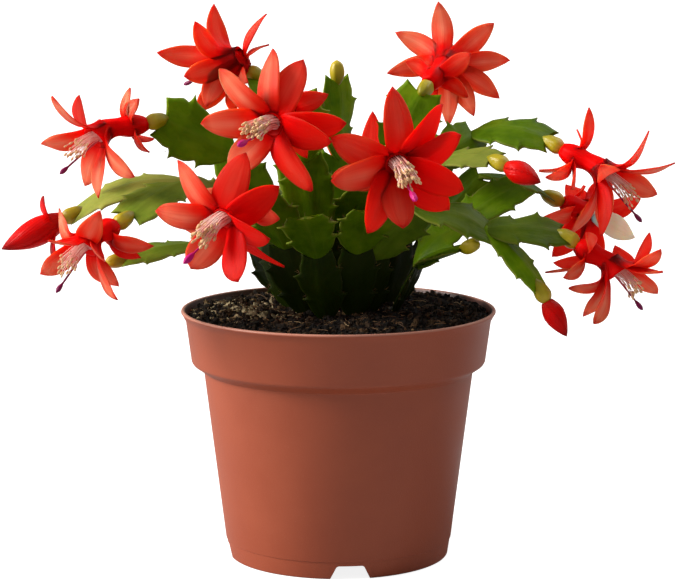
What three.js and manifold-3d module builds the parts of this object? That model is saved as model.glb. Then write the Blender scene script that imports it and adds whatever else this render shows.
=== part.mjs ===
// A flowering Christmas cactus in a round plastic grower's pot, in millimetres, +Z up.
// The origin is the middle of the pot's foot, on the surface that the pot stands on.
// +X is to the right and +Y to the back of the plant.
// The plant is a cluster of flat, toothed stem segments, called pads here, joined end to end.
// Each arching stem ends in an ovary with a flower or a bud on it.
import * as THREE from "three";
import { mergeVertices } from "three/addons/utils/BufferGeometryUtils.js";
import Module from "manifold-3d";

const wasm = await Module();
wasm.setup();

// Driving dimensions of the pot
const POT_HEIGHT = 95.2;
const RIM_RADIUS = 60;
const RIM_INNER_RADIUS = 57.2;
const BEAD_HEIGHT = 3;
const COLLAR_TOP_RADIUS = 58.2;
const COLLAR_FOOT_RADIUS = 56.2;
const COLLAR_FOOT_Z = 75.7;
const SHOULDER_RADIUS = 51.4;
const SHOULDER_Z = 71.6;
const STEP_RADIUS = 43.4;
const STEP_Z = 6.9;
const STEP_DEPTH = 0.3;
const FOOT_RADIUS = 42.2;
const FOOT_RING = 1.3;
const WALL = 1.3;
const FLOOR_Z = 8;
const FLOOR_THICKNESS = 1.6;
const POT_SIDES = 32;
const NOTCHES = 4;
const NOTCH_TURN = 6;
const NOTCH_TOP_WIDTH = 10;
const NOTCH_FOOT_WIDTH = 15;
const NOTCH_HEIGHT = 5.2;
const NOTCH_ROUND = 1.2;
const DRAIN_RADIUS = 3.5;
const DRAIN_CIRCLE = 33;
const DRAIN_SIDES = 8;

// Driving dimensions of the soil
const GAP = 0.3;
const SOIL_EDGE_Z = 91;
const SOIL_MOUND = 1.5;
const SOIL_BUMP = 0.7;
const SOIL_RINGS = [46, 30, 14];

// Driving dimensions of the stems
const STUB_RADIUS = 2.6;
const STUB_DEPTH = 15.5;
const STUB_SIDES = 6;
const STUB_TOP_Z = 94.5;
const PAD_THICKNESS = 3.2;
const PAD_ROOT = 1.5;
const END_SIDES = 6;

// Driving dimensions of the flowers
const OVARY_LENGTH = 7;
const TUBE_SIDES = 7;
const MOUTH_RADIUS = 4.3;
const UPPER_WIDTH = 7.8;
const BROAD_WIDTH = 11.8;
const LOWER_WIDTH = 7;
const LOWER_SHARE = 0.35;
const PETAL_THICKNESS = 1.1;
const PETAL_RISE = 0.3;
const PETAL_SINK = 2.6;
const PETAL_START = 1.7;
const PETAL_BEND = 2.5;
const STAMEN_CORE_RADIUS = 1.2;
const STAMEN_CORE_HEIGHT = 1.4;
const STAMEN_CORE_LIFT = 0.9;
const STAMEN_FOOT_SPREAD = 0.9;
const STAMEN_FOOT_ROW = 0.4;
const STAMEN_SPREAD = 2.6;
const STAMEN_RISE = 2.6;
const STAMEN_ROW = 1.2;
const FILAMENTS = 5;
const FILAMENT_SHARE = 0.82;
const FILAMENT_RADIUS = 0.5;
const ANTHER_RADIUS = 1;
const ANTHER_LENGTH = 2.4;
const STYLE_RADIUS = 0.5;
const STYLE_DROP = 1.4;
const STYLE_SIDES = 5;
const STIGMA_RADIUS = 1.4;
const STIGMA_LENGTH = 5;

// Driving dimensions of the red buds
const BUD_SIDES = 10;
const BUD_TWIST = 0.7;
const BUD_RIDGE = 0.07;
const BUD_SHOULDER = 5;

// A pad's outline on either side, as shares of its length and of its half width.
// Each tooth's tip is followed by its notch, and the last two points are the horn and the cut tip.
// The third value is the point of the midrib that the outline is joined to from there on.
const PAD_OUTLINE = [
  [0, 0.14, 0],
  [0.38, 0.88, 1],
  [0.43, 0.74, 1],
  [0.74, 1.04, 1],
  [0.8, 0.8, 1],
  [1.06, 0.62, 1],
  [1, 0.34, 2],
];
const PAD_RIB = [
  [0, 0.5],
  [0.55, 1],
  [0.99, 0.8],
];

// Profiles of the round parts: distance from the root along the axis, and radius
const OVARY_PROFILE = [
  [-3, 0],
  [2.6, 2.8],
  [5.2, 3.1],
  [7, 2.4],
];
const GREEN_BUD_PROFILE = [
  [-3, 0],
  [3, 2.9],
  [6, 2.8],
  [8.8, 0.8],
];

// Shares of the length and of the width, along a petal, a flower's tube and a red bud
const UPPER_STATIONS = [
  [0, 0],
  [0.36, 0.78],
  [0.64, 1],
  [0.87, 0.76],
  [1, 0],
];
const LOWER_STATIONS = [
  [0, 0],
  [0.45, 0.9],
  [0.75, 0.9],
  [1, 0],
];
const TUBE_STATIONS = [
  [0, 0.62],
  [0.22, 0.94],
  [0.55, 0.68],
  [1, 1.06],
];
const BUD_STATIONS = [
  [0, 0.5],
  [0.18, 0.85],
  [0.42, 1],
  [0.68, 0.8],
  [0.88, 0.4],
  [1, 0.08],
];

// The stems. A pad is the x, y and z of its far end, its width, the turn and tilt of the way that its flat
// side faces, and how far it bows to that side. Turn 0 faces the front and 90 the right. Tilt is above the
// horizon. A branch grows from the soil at x and y, or from the far end of an earlier pad of its stem,
// counted from 0.
const STEMS = {
  stem_left: [
    {
      soil: [-17, 1],
      pads: [
        [-25, 4, 121, 19, -50, 10, 1],
        [-41, 7, 154, 22, -15, 5, 1],
        [-66, 0, 167.5, 24, -5, 20, 0],
      ],
      end: "ovary",
    },
    {
      from: 0,
      pads: [
        [-58, -4, 143.5, 21, -30, 60, 2],
        [-98, 0, 132.5, 19, -10, 68, 4],
      ],
      end: "ovary",
    },
    { from: 3, pads: [[-77, -26, 134, 21, -20, 45, 1]], end: "ovary" },
    {
      from: 0,
      pads: [
        [-53, -19, 121.5, 20, -40, 70, 2],
        [-79, -24, 117.5, 17, 0, 75, 1],
      ],
      end: "bud",
    },
  ],
  stem_front_left: [
    {
      soil: [-11, -10],
      pads: [
        [-20, -14, 121, 19, -15, 0, 0],
        [-28, -33, 142.5, 22, -20, -20, 0],
      ],
      end: "ovary",
    },
  ],
  stem_front: [
    {
      soil: [-4, -19],
      pads: [
        [-8, -28, 119, 17, 0, 0, 0],
        [-12, -48, 136, 20, 0, -30, -2],
      ],
    },
  ],
  stem_front_right: [
    {
      soil: [6, -15],
      pads: [
        [7, -24, 120, 17, 10, 0, 0],
        [12, -40, 137, 21, 10, -30, -2],
      ],
    },
  ],
  stem_up_left: [
    {
      soil: [-5, -3],
      pads: [
        [-8, -5, 124, 18, 0, 0, 0],
        [-13, -14, 154, 21, -10, 0, 0],
        [-15, -31, 180, 22, -10, 20, 0],
      ],
      end: "ovary",
    },
  ],
  stem_back_left: [
    {
      soil: [-8, 13],
      pads: [
        [-13, 20, 124, 19, 0, 0, 0],
        [-14, 28, 155, 22, 10, 0, 0],
        [-29.5, 37, 180, 22, 40, 20, 0],
      ],
      end: "ovary",
    },
  ],
  stem_centre: [
    {
      soil: [3, 5],
      pads: [
        [1, 8, 123, 19, 20, 0, 0],
        [0, 13, 152, 22, 30, 0, 0],
        [-0.5, 14, 181, 21, 52, 0, 0],
      ],
      end: "bud",
    },
    {
      from: 0,
      pads: [
        [10, -12, 142, 19, 20, -20, 0],
        [17, -30, 158, 21, 10, 60, 1],
      ],
      end: "ovary",
    },
  ],
  stem_back_right: [
    {
      soil: [11, 12],
      pads: [
        [16, 15, 124, 19, 10, 0, 0],
        [20, 11, 152, 22, 0, 5, 0],
        [32, 14, 176.5, 22, -10, 10, 0],
      ],
      end: "ovary",
    },
  ],
  stem_right_high: [
    {
      soil: [17, 2],
      pads: [
        [23, 3, 121, 18, 30, 0, 0],
        [37, 2, 151, 22, 15, 0, 0],
        [52, 16, 160, 19, 10, 30, 1],
        [79, 4, 159, 21, 10, 58, 3],
      ],
      end: "ovary",
    },
    { from: 1, pads: [[57, -18, 154, 18, 0, 62, 1]], end: "ovary" },
  ],
  stem_right_mid: [
    {
      soil: [22, 11],
      pads: [
        [32, 14, 117, 16, 60, 10, 0],
        [55, 12.5, 144, 18, 25, 45, 1],
        [80, 18, 136.5, 19, 20, 85, 2],
      ],
      end: "ovary",
    },
  ],
  stem_right_bud: [
    {
      soil: [21, -6],
      pads: [
        [30, -9, 113, 13, 75, 0, 0],
        [46.5, -24, 121.5, 18, 20, 74, 1],
      ],
      end: "bud",
    },
    {
      from: 0,
      pads: [
        [43.5, -8, 127, 17, 20, 68, 1],
        [69, -6, 143, 20, 15, 60, 1],
      ],
    },
  ],
  stem_right_low: [
    {
      soil: [11, -9],
      pads: [
        [13, -19, 118, 16, 15, 0, 0],
        [28, -31, 137, 20, 20, 0, 0],
        [54.5, -30, 129, 20.5, 5, 63, 2],
        [82.5, -24, 127, 19, 5, 58, 1],
      ],
      end: "ovary",
    },
    { from: 2, pads: [[73, -33, 109.5, 15, 50, 35, 1]], end: "ovary" },
  ],
  stem_back: [
    {
      soil: [2, 20],
      pads: [
        [3, 32, 119, 18, 180, 10, 0],
        [10, 44, 145, 22, 180, 20, 1],
      ],
      end: "ovary",
    },
    {
      from: 0,
      pads: [
        [-12, 54, 134, 21, 190, 40, 1],
        [-20, 73, 128, 21, 190, 70, 2],
      ],
      end: "bud",
    },
  ],
  stem_back_low_left: [
    {
      soil: [-16, 12],
      pads: [
        [-30, 24, 112, 18, 230, 20, 1],
        [-48, 44, 126, 22, 220, 50, 2],
        [-58, 66, 120, 20, 215, 70, 2],
      ],
      end: "bud",
    },
  ],
  stem_back_low_right: [
    {
      soil: [15, 21],
      pads: [
        [26, 34, 114, 18, 140, 20, 1],
        [44, 50, 132, 22, 145, 45, 2],
        [60, 62, 124, 20, 150, 70, 2],
      ],
      end: "ovary",
    },
  ],
};

// The flowers. Each stands on the ovary at the end of a branch of a stem.
// The mouth is the middle of the tube's rim. The stigma ends the style and shows the way that the flower
// faces. A petal is its turn from upright round the flower, how far it opens from the flower's axis, and its
// reach. The upper petals grow from the mouth, and the lower ones from the tube behind it. The fullest
// flowers have broad upper petals.
const BLOOMS = {
  bloom_left_high: {
    on: ["stem_left", 0],
    mouth: [-90, -12, 162],
    stigma: [-103, -22, 149],
    upper: [
      [0, 78, 25],
      [297, 120, 23],
      [280, 64, 25],
      [217, 65, 24],
      [150, 43, 24],
      [118, 75, 26],
    ],
    lower: [
      [350, 106, 15],
      [30, 105, 13],
      [137, 100, 13],
      [210, 140, 13],
    ],
  },
  bloom_left_low: {
    on: ["stem_left", 2],
    mouth: [-92, -40, 125],
    stigma: [-102, -50, 109],
    upper: [
      [300, 118, 19],
      [47, 116, 19],
      [15, 61, 22],
      [259, 58, 24],
      [121, 57, 26],
      [184, 86, 24],
      [88, 73, 14],
    ],
    lower: [
      [195, 122, 15],
      [118, 112, 19],
      [148, 108, 16],
    ],
  },
  bloom_back_left: {
    on: ["stem_back_left", 0],
    mouth: [-42, 35, 187],
    stigma: [-61, 45, 177],
    upper: [
      [347, 89, 25],
      [41, 91, 23],
      [45, 42, 29],
      [91, 55, 21],
      [135, 64, 22],
      [169, 30, 25],
      [200, 60, 22],
      [278, 80, 24],
    ],
    lower: [
      [7, 86, 23],
      [13, 111, 14],
      [118, 115, 10],
      [250, 95, 12],
    ],
  },
  bloom_up_left: {
    on: ["stem_up_left", 0],
    mouth: [-23, -58, 171],
    stigma: [-35, -78, 165],
    width: BROAD_WIDTH,
    upper: [
      [322, 81, 27],
      [350, 118, 27],
      [20, 125, 25],
      [92, 104, 27],
      [100, 83, 26],
      [145, 79, 28],
      [224, 63, 24],
      [276, 66, 26],
    ],
    lower: [
      [78, 110, 16],
      [158, 80, 20],
    ],
  },
  bloom_front_left: {
    on: ["stem_front_left", 0],
    mouth: [-40, -62, 138],
    stigma: [-54, -80, 124],
    width: BROAD_WIDTH,
    upper: [
      [317, 103, 27],
      [24, 122, 25],
      [70, 118, 24],
      [97, 76, 24],
      [150, 98, 28],
      [131, 44, 27],
      [225, 67, 26],
      [282, 76, 27],
      [252, 90, 24],
    ],
    lower: [
      [99, 68, 18],
      [289, 75, 18],
    ],
  },
  bloom_centre: {
    on: ["stem_centre", 1],
    mouth: [20.5, -58, 157],
    stigma: [27, -80, 146],
    width: BROAD_WIDTH,
    upper: [
      [358, 120, 27],
      [45, 112, 27],
      [75, 105, 27],
      [98, 56, 26],
      [129, 76, 27],
      [185, 36, 25],
      [215, 53, 28],
      [263, 77, 26],
      [245, 108, 24],
      [285, 110, 25],
    ],
    lower: [
      [20, 105, 14],
      [150, 100, 14],
    ],
  },
  bloom_back_right: {
    on: ["stem_back_right", 0],
    mouth: [42.5, 40, 186],
    stigma: [50, 60, 190],
    upper: [
      [20, 55, 27],
      [310, 45, 26],
      [262, 50, 27],
      [225, 64, 27],
      [203, 85, 24],
      [178, 90, 26],
      [66, 76, 26],
      [98, 106, 24],
    ],
    lower: [
      [300, 70, 17],
      [69, 75, 14],
      [235, 84, 15],
      [157, 100, 13],
    ],
  },
  bloom_right_high: {
    on: ["stem_right_high", 0],
    mouth: [100.5, -8, 147],
    stigma: [113.5, -14, 130],
    upper: [
      [16, 99, 23],
      [20, 63, 26],
      [71, 49, 24],
      [204, 69, 27],
      [234, 45, 26],
      [148, 60, 24],
      [290, 95, 20],
    ],
    lower: [
      [8, 105, 19.5],
      [20, 122, 11],
      [205, 130, 15],
      [240, 99, 17],
      [239, 62, 17],
    ],
  },
  bloom_right_low: {
    on: ["stem_right_low", 0],
    mouth: [102.5, -30, 114],
    stigma: [112, -34, 100],
    upper: [
      [45, 105, 21],
      [343, 82, 22],
      [337, 61, 21],
      [70, 42, 20],
      [216, 57, 22],
      [178, 72, 22],
      [190, 104, 19],
      [90, 120, 18],
    ],
    lower: [
      [160, 128, 16],
      [200, 122, 18],
      [312, 112, 12],
      [221, 99, 15],
    ],
  },
  bloom_right_mid: {
    on: ["stem_right_mid", 0],
    mouth: [97, 20, 129],
    stigma: [103, 38, 118],
    upper: [
      [245, 88, 21],
      [295, 80, 21],
      [345, 75, 20],
      [40, 72, 20],
      [95, 60, 22],
      [145, 85, 22],
      [195, 72, 20],
    ],
    lower: [
      [235, 128, 20],
      [38, 75, 12],
    ],
  },
  bloom_back: {
    on: ["stem_back", 0],
    mouth: [13, 62, 143],
    stigma: [14, 77, 130],
    upper: [
      [0, 98, 25],
      [52, 84, 25],
      [104, 92, 24],
      [155, 68, 24],
      [205, 76, 23],
      [256, 66, 24],
      [308, 88, 24],
    ],
    lower: [
      [30, 98, 14],
      [230, 96, 14],
    ],
  },
};

// The red buds: where each ends, its radius, and the petals that stand off from it
const BUDS = {
  bud_left: {
    on: ["stem_left", 1],
    tip: [-127, -8, 119],
    radius: 5.2,
    lower: [
      [20, 98, 13],
      [150, 70, 14],
    ],
  },
  bud_right_high: { on: ["stem_right_high", 1], tip: [74, -32, 147], radius: 4.8 },
  bud_right_low: { on: ["stem_right_low", 1], tip: [84, -36, 90.5], radius: 4.2 },
  bud_back: { on: ["stem_back_low_right", 0], tip: [72, 76, 108], radius: 4.8 },
};

// The colour and the roughness of each kind of surface
const LOOKS = {
  pot: ["#b4694c", 0.5],
  soil: ["#2c2019", 0.95],
  stem: ["#5c7a1c", 0.45],
  petals: ["#e0200f", 0.5],
  bud: ["#d4190f", 0.45],
  stamens: ["#f0d9b4", 0.6],
  pistil: ["#c4128a", 0.4],
};

const group = new THREE.Group();
const RADIANS = Math.PI / 180;
const UP = new THREE.Vector3(0, 0, 1);
const RIGHT = new THREE.Vector3(1, 0, 0);

// A value from 0 to 1 that looks random and is the same at every build
function scatter(seed, step) {
  const value = Math.sin(seed * 12.9898 + step * 78.233) * 43758.5453;
  return value - Math.floor(value);
}

// The point that lies at given distances from another along some directions
function offset(point, ...moves) {
  const moved = point.clone();
  for (const [direction, distance] of moves) {
    moved.addScaledVector(direction, distance);
  }
  return moved;
}

// Turns a geometry into a solid whose faces look outward
function solid(geometry) {
  geometry.deleteAttribute("normal");
  geometry.deleteAttribute("uv");
  const welded = mergeVertices(geometry, 1e-4);
  const position = welded.attributes.position;
  const corners = [new THREE.Vector3(), new THREE.Vector3(), new THREE.Vector3()];
  const faces = [];
  let volume = 0;
  for (let start = 0; start < welded.index.count; start += 3) {
    const [a, b, c] = [0, 1, 2].map((corner) => welded.index.getX(start + corner));
    if (a === b || b === c || c === a) {
      continue;
    }
    faces.push([a, b, c]);
    [a, b, c].forEach((vertex, corner) => corners[corner].fromBufferAttribute(position, vertex));
    volume += corners[0].dot(corners[1].clone().cross(corners[2]));
  }
  const turned = volume < 0 ? faces.map(([a, b, c]) => [a, c, b]) : faces;
  return new wasm.Manifold(
    new wasm.Mesh({
      numProp: 3,
      vertProperties: new Float32Array(position.array),
      triVerts: new Uint32Array(turned.flat()),
    }),
  );
}

// Skins a closed body over rings of as many points each, with a flat face at either end
function skin(rings) {
  const sides = rings[0].length;
  const last = (rings.length - 1) * sides;
  const faces = [];
  for (let ring = 0; ring < last; ring += sides) {
    for (let side = 0; side < sides; side += 1) {
      const next = (side + 1) % sides;
      faces.push(ring + side, ring + next, ring + sides + next);
      faces.push(ring + side, ring + sides + next, ring + sides + side);
    }
  }
  for (let side = 1; side < sides - 1; side += 1) {
    faces.push(0, side + 1, side);
    faces.push(last, last + side, last + side + 1);
  }
  const geometry = new THREE.BufferGeometry().setFromPoints(rings.flat());
  geometry.setIndex(faces);
  return solid(geometry);
}

// A ring of points round a place on an axis. Every second point may stand off by a ridge.
function ring(centre, axis, radius, sides, twist = 0, ridge = 0) {
  const guide = Math.abs(axis.z) > 0.95 ? RIGHT : UP;
  const across = new THREE.Vector3().crossVectors(guide, axis).normalize();
  const along = new THREE.Vector3().crossVectors(axis, across);
  const points = [];
  for (let side = 0; side < sides; side += 1) {
    const angle = (2 * Math.PI * side) / sides + twist;
    const reach = radius * (1 + (side % 2 ? -ridge : ridge));
    points.push(offset(centre, [across, reach * Math.cos(angle)], [along, reach * Math.sin(angle)]));
  }
  return points;
}

// A body turned round a straight axis from a profile of distances and radii
function turned(root, axis, profile, sides) {
  return skin(profile.map(([distance, radius]) => ring(offset(root, [axis, distance]), axis, radius, sides)));
}

function join(bodies) {
  return bodies.reduce((whole, body) => whole.add(body));
}

// Adds a finished solid to the group as a named mesh of its own
function place(name, body, look) {
  const mesh = body.getMesh();
  const geometry = new THREE.BufferGeometry();
  const values = [];
  for (let vertex = 0; vertex < mesh.numVert; vertex += 1) {
    for (let axis = 0; axis < 3; axis += 1) {
      values.push(mesh.vertProperties[vertex * mesh.numProp + axis]);
    }
  }
  geometry.setAttribute("position", new THREE.Float32BufferAttribute(values, 3));
  geometry.setIndex(Array.from(mesh.triVerts));
  geometry.computeVertexNormals();
  const [colour, roughness] = LOOKS[look];
  const material = new THREE.MeshStandardMaterial({ color: colour, roughness, metalness: 0 });
  material.name = look;
  const node = new THREE.Mesh(geometry, material);
  node.name = name;
  group.add(node);
}

// The pot: one turned wall with a rolled bead, a collar, a stepped foot and a raised floor
const collarInside = COLLAR_TOP_RADIUS - WALL;
const beadFootZ = POT_HEIGHT - BEAD_HEIGHT;
const bodyInside = SHOULDER_RADIUS - WALL;
const floorInside = STEP_RADIUS - WALL;
const footInside = FOOT_RADIUS - FOOT_RING;
const potProfile = [
  [0, FLOOR_Z - FLOOR_THICKNESS],
  [footInside + 0.4, FLOOR_Z - FLOOR_THICKNESS],
  [footInside, 0],
  [FOOT_RADIUS, 0],
  [STEP_RADIUS - STEP_DEPTH, STEP_Z - 0.3],
  [STEP_RADIUS, STEP_Z],
  [SHOULDER_RADIUS, SHOULDER_Z],
  [COLLAR_FOOT_RADIUS - 1.4, COLLAR_FOOT_Z - 1.2],
  [COLLAR_FOOT_RADIUS, COLLAR_FOOT_Z],
  [COLLAR_TOP_RADIUS, beadFootZ - 0.4],
  [RIM_RADIUS, beadFootZ + 0.6],
  [RIM_RADIUS, POT_HEIGHT - 0.9],
  [RIM_RADIUS - 0.9, POT_HEIGHT],
  [RIM_INNER_RADIUS + 0.7, POT_HEIGHT],
  [collarInside, POT_HEIGHT - 0.8],
  [COLLAR_FOOT_RADIUS - WALL, COLLAR_FOOT_Z],
  [bodyInside, SHOULDER_Z],
  [floorInside, FLOOR_Z],
  [0, FLOOR_Z],
];
const potPoints = potProfile.map(([radius, z]) => new THREE.Vector2(radius, z));
let pot = solid(new THREE.LatheGeometry(potPoints, POT_SIDES).rotateX(Math.PI / 2));

// The foot's notches, and the drain holes in the floor behind them and in its middle
const notchShape = new THREE.Shape();
const notchHalf = NOTCH_TOP_WIDTH / 2;
notchShape.moveTo(-NOTCH_FOOT_WIDTH / 2, -1);
notchShape.lineTo(NOTCH_FOOT_WIDTH / 2, -1);
notchShape.lineTo(NOTCH_FOOT_WIDTH / 2, 0);
notchShape.lineTo(notchHalf + NOTCH_ROUND / 2, NOTCH_HEIGHT - NOTCH_ROUND);
notchShape.quadraticCurveTo(notchHalf, NOTCH_HEIGHT, notchHalf - NOTCH_ROUND, NOTCH_HEIGHT);
notchShape.lineTo(NOTCH_ROUND - notchHalf, NOTCH_HEIGHT);
notchShape.quadraticCurveTo(
  -notchHalf,
  NOTCH_HEIGHT,
  -notchHalf - NOTCH_ROUND / 2,
  NOTCH_HEIGHT - NOTCH_ROUND,
);
notchShape.lineTo(-NOTCH_FOOT_WIDTH / 2, 0);
const drainPlaces = [[0, 0]];
for (let notch = 0; notch < NOTCHES; notch += 1) {
  const angle = (NOTCH_TURN - 90 + (notch * 360) / NOTCHES) * RADIANS;
  const outward = new THREE.Vector3(Math.cos(angle), Math.sin(angle), 0);
  const across = new THREE.Vector3().crossVectors(UP, outward);
  const frame = new THREE.Matrix4().makeBasis(across, UP, outward);
  frame.setPosition(outward.clone().multiplyScalar(footInside - 4));
  const cutter = new THREE.ExtrudeGeometry(notchShape, { depth: 10, bevelEnabled: false, curveSegments: 2 });
  pot = pot.subtract(solid(cutter.applyMatrix4(frame)));
  drainPlaces.push([DRAIN_CIRCLE * outward.x, DRAIN_CIRCLE * outward.y]);
}
for (const [x, y] of drainPlaces) {
  const drill = new THREE.CylinderGeometry(DRAIN_RADIUS, DRAIN_RADIUS, 3 * FLOOR_THICKNESS, DRAIN_SIDES);
  drill.rotateX(Math.PI / 2).translate(x, y, FLOOR_Z - FLOOR_THICKNESS / 2);
  pot = pot.subtract(solid(drill));
}
place("pot", pot, "pot");

// The soil fills the pot, a little clear of its wall, and rises towards the middle
const soilWall = [
  [floorInside - GAP, FLOOR_Z + GAP],
  [bodyInside - GAP, SHOULDER_Z],
  [COLLAR_FOOT_RADIUS - WALL - GAP, COLLAR_FOOT_Z + GAP],
  [COLLAR_FOOT_RADIUS - WALL - GAP + 1.2, SOIL_EDGE_Z],
];
function level(radius, z) {
  const points = [];
  for (let side = 0; side < POT_SIDES; side += 1) {
    const angle = (2 * Math.PI * side) / POT_SIDES;
    points.push(new THREE.Vector3(radius * Math.cos(angle), radius * Math.sin(angle), z(side)));
  }
  return points;
}
const soilRings = soilWall.map(([radius, z]) => level(radius, () => z));
SOIL_RINGS.forEach((radius, index) => {
  const rise = SOIL_MOUND * (1 - (radius / RIM_RADIUS) ** 2);
  const bump = (side) => SOIL_BUMP * (2 * scatter(index + 1, side) - 1);
  soilRings.push(level(radius, (side) => SOIL_EDGE_Z + rise + bump(side)));
});
let soil = skin(soilRings);
for (const branches of Object.values(STEMS)) {
  const [x, y] = branches[0].soil;
  const foot = new THREE.Vector3(x, y, STUB_TOP_Z - STUB_DEPTH - GAP);
  const hole = [
    [0, STUB_RADIUS + GAP],
    [STUB_DEPTH + 4, STUB_RADIUS + GAP],
  ];
  soil = soil.subtract(turned(foot, UP, hole, STUB_SIDES));
}
place("soil", soil, "soil");

// One pad: a flat segment with a midrib, toothed edges and a cut tip with a horn on either side
function padBody(start, end, width, turn, tilt, bow) {
  const along = end.clone().sub(start);
  const length = along.length();
  along.normalize();
  const face = new THREE.Vector3(Math.sin(turn * RADIANS), -Math.cos(turn * RADIANS), 0);
  face.multiplyScalar(Math.cos(tilt * RADIANS)).setZ(Math.sin(tilt * RADIANS));
  const side = new THREE.Vector3().crossVectors(along, face).normalize();
  const front = new THREE.Vector3().crossVectors(side, along);
  const at = (share, across, out) => {
    const arch = 4 * bow * share * (1 - share);
    return offset(start, [along, share * length], [side, (across * width) / 2], [front, out + arch]);
  };
  const points = [];
  const rows = PAD_OUTLINE.length;
  PAD_OUTLINE.forEach(([share, reach]) => points.push(at(share, reach, 0)));
  PAD_OUTLINE.forEach(([share, reach]) => points.push(at(share, -reach, 0)));
  PAD_RIB.forEach(([share, thick]) => points.push(at(share, 0, (thick * PAD_THICKNESS) / 2)));
  PAD_RIB.forEach(([share, thick]) => points.push(at(share, 0, (-thick * PAD_THICKNESS) / 2)));
  const faces = [];
  for (const [edge, rib, flip] of [
    [0, 2 * rows, false],
    [rows, 2 * rows, true],
    [0, 2 * rows + PAD_RIB.length, true],
    [rows, 2 * rows + PAD_RIB.length, false],
  ]) {
    const add = (a, b, c) => faces.push(...(flip ? [a, c, b] : [a, b, c]));
    for (let row = 1; row < rows; row += 1) {
      const before = PAD_OUTLINE[row - 1][2];
      const after = PAD_OUTLINE[row][2];
      add(edge + row - 1, edge + row, rib + before);
      if (after !== before) {
        add(edge + row, rib + after, rib + before);
      }
    }
  }
  for (const [first, rib] of [
    [0, 0],
    [rows - 1, PAD_RIB.length - 1],
  ]) {
    const cap = [first, 2 * rows + rib, first + rows, 2 * rows + PAD_RIB.length + rib];
    const turns = first ? [0, 2, 1, 0, 3, 2] : [0, 1, 2, 0, 2, 3];
    faces.push(...turns.map((corner) => cap[corner]));
  }
  const geometry = new THREE.BufferGeometry().setFromPoints(points);
  geometry.setIndex(faces);
  return solid(geometry);
}

// The stems, each in one piece with its stub in the soil and its pads
const grown = {};
for (const [name, branches] of Object.entries(STEMS)) {
  const bodies = [];
  const tips = [];
  const ends = [];
  for (const branch of branches) {
    let from;
    if (branch.soil) {
      const [x, y] = branch.soil;
      const foot = new THREE.Vector3(x, y, STUB_TOP_Z - STUB_DEPTH);
      const stub = [
        [0, STUB_RADIUS],
        [STUB_DEPTH + 2, STUB_RADIUS * 0.7],
      ];
      bodies.push(turned(foot, UP, stub, STUB_SIDES));
      from = new THREE.Vector3(x, y, STUB_TOP_Z);
    } else {
      from = tips[branch.from];
    }
    let along;
    for (const [x, y, z, width, turn, tilt, bow] of branch.pads) {
      const tip = new THREE.Vector3(x, y, z);
      along = tip.clone().sub(from).normalize();
      bodies.push(padBody(offset(from, [along, -PAD_ROOT]), tip, width, turn, tilt, bow));
      tips.push(tip);
      from = tip;
    }
    ends.push({ tip: from, along, kind: branch.end });
  }
  grown[name] = { bodies, ends };
}

// Points the ovary at the end of a branch towards the flower or the bud that it carries
function aim([name, branch], target) {
  const end = grown[name].ends[branch];
  end.aim = target.clone().sub(end.tip).normalize();
  return end;
}

// One petal: a pointed blade with a keel at its back, arching out from its root to its tip
function petalBody(root, axis, turn, opening, reach, width, stations) {
  const upright = offset(UP, [axis, -axis.dot(UP)]).normalize();
  const right = new THREE.Vector3().crossVectors(upright, axis);
  const outward = offset(
    new THREE.Vector3(),
    [upright, Math.cos(turn * RADIANS)],
    [right, Math.sin(turn * RADIANS)],
  );
  const across = new THREE.Vector3().crossVectors(axis, outward);
  const start = offset(root, [outward, PETAL_START], [axis, -PETAL_SINK]);
  const bend = offset(root, [outward, PETAL_START + PETAL_BEND], [axis, PETAL_RISE * reach]);
  const lean = opening * RADIANS;
  const tip = offset(root, [axis, reach * Math.cos(lean)], [outward, reach * Math.sin(lean)]);
  const curve = new THREE.QuadraticBezierCurve3(start, bend, tip);
  const rings = stations.map(([share, wide]) => {
    const place = curve.getPoint(share);
    const back = new THREE.Vector3().crossVectors(curve.getTangent(share), across).normalize();
    const half = (wide * width) / 2;
    const keel = wide ? PETAL_THICKNESS : 0;
    return [
      offset(place, [across, half]),
      offset(place, [across, -half]),
      offset(place, [back, keel]),
    ];
  });
  return skin(rings);
}

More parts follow.
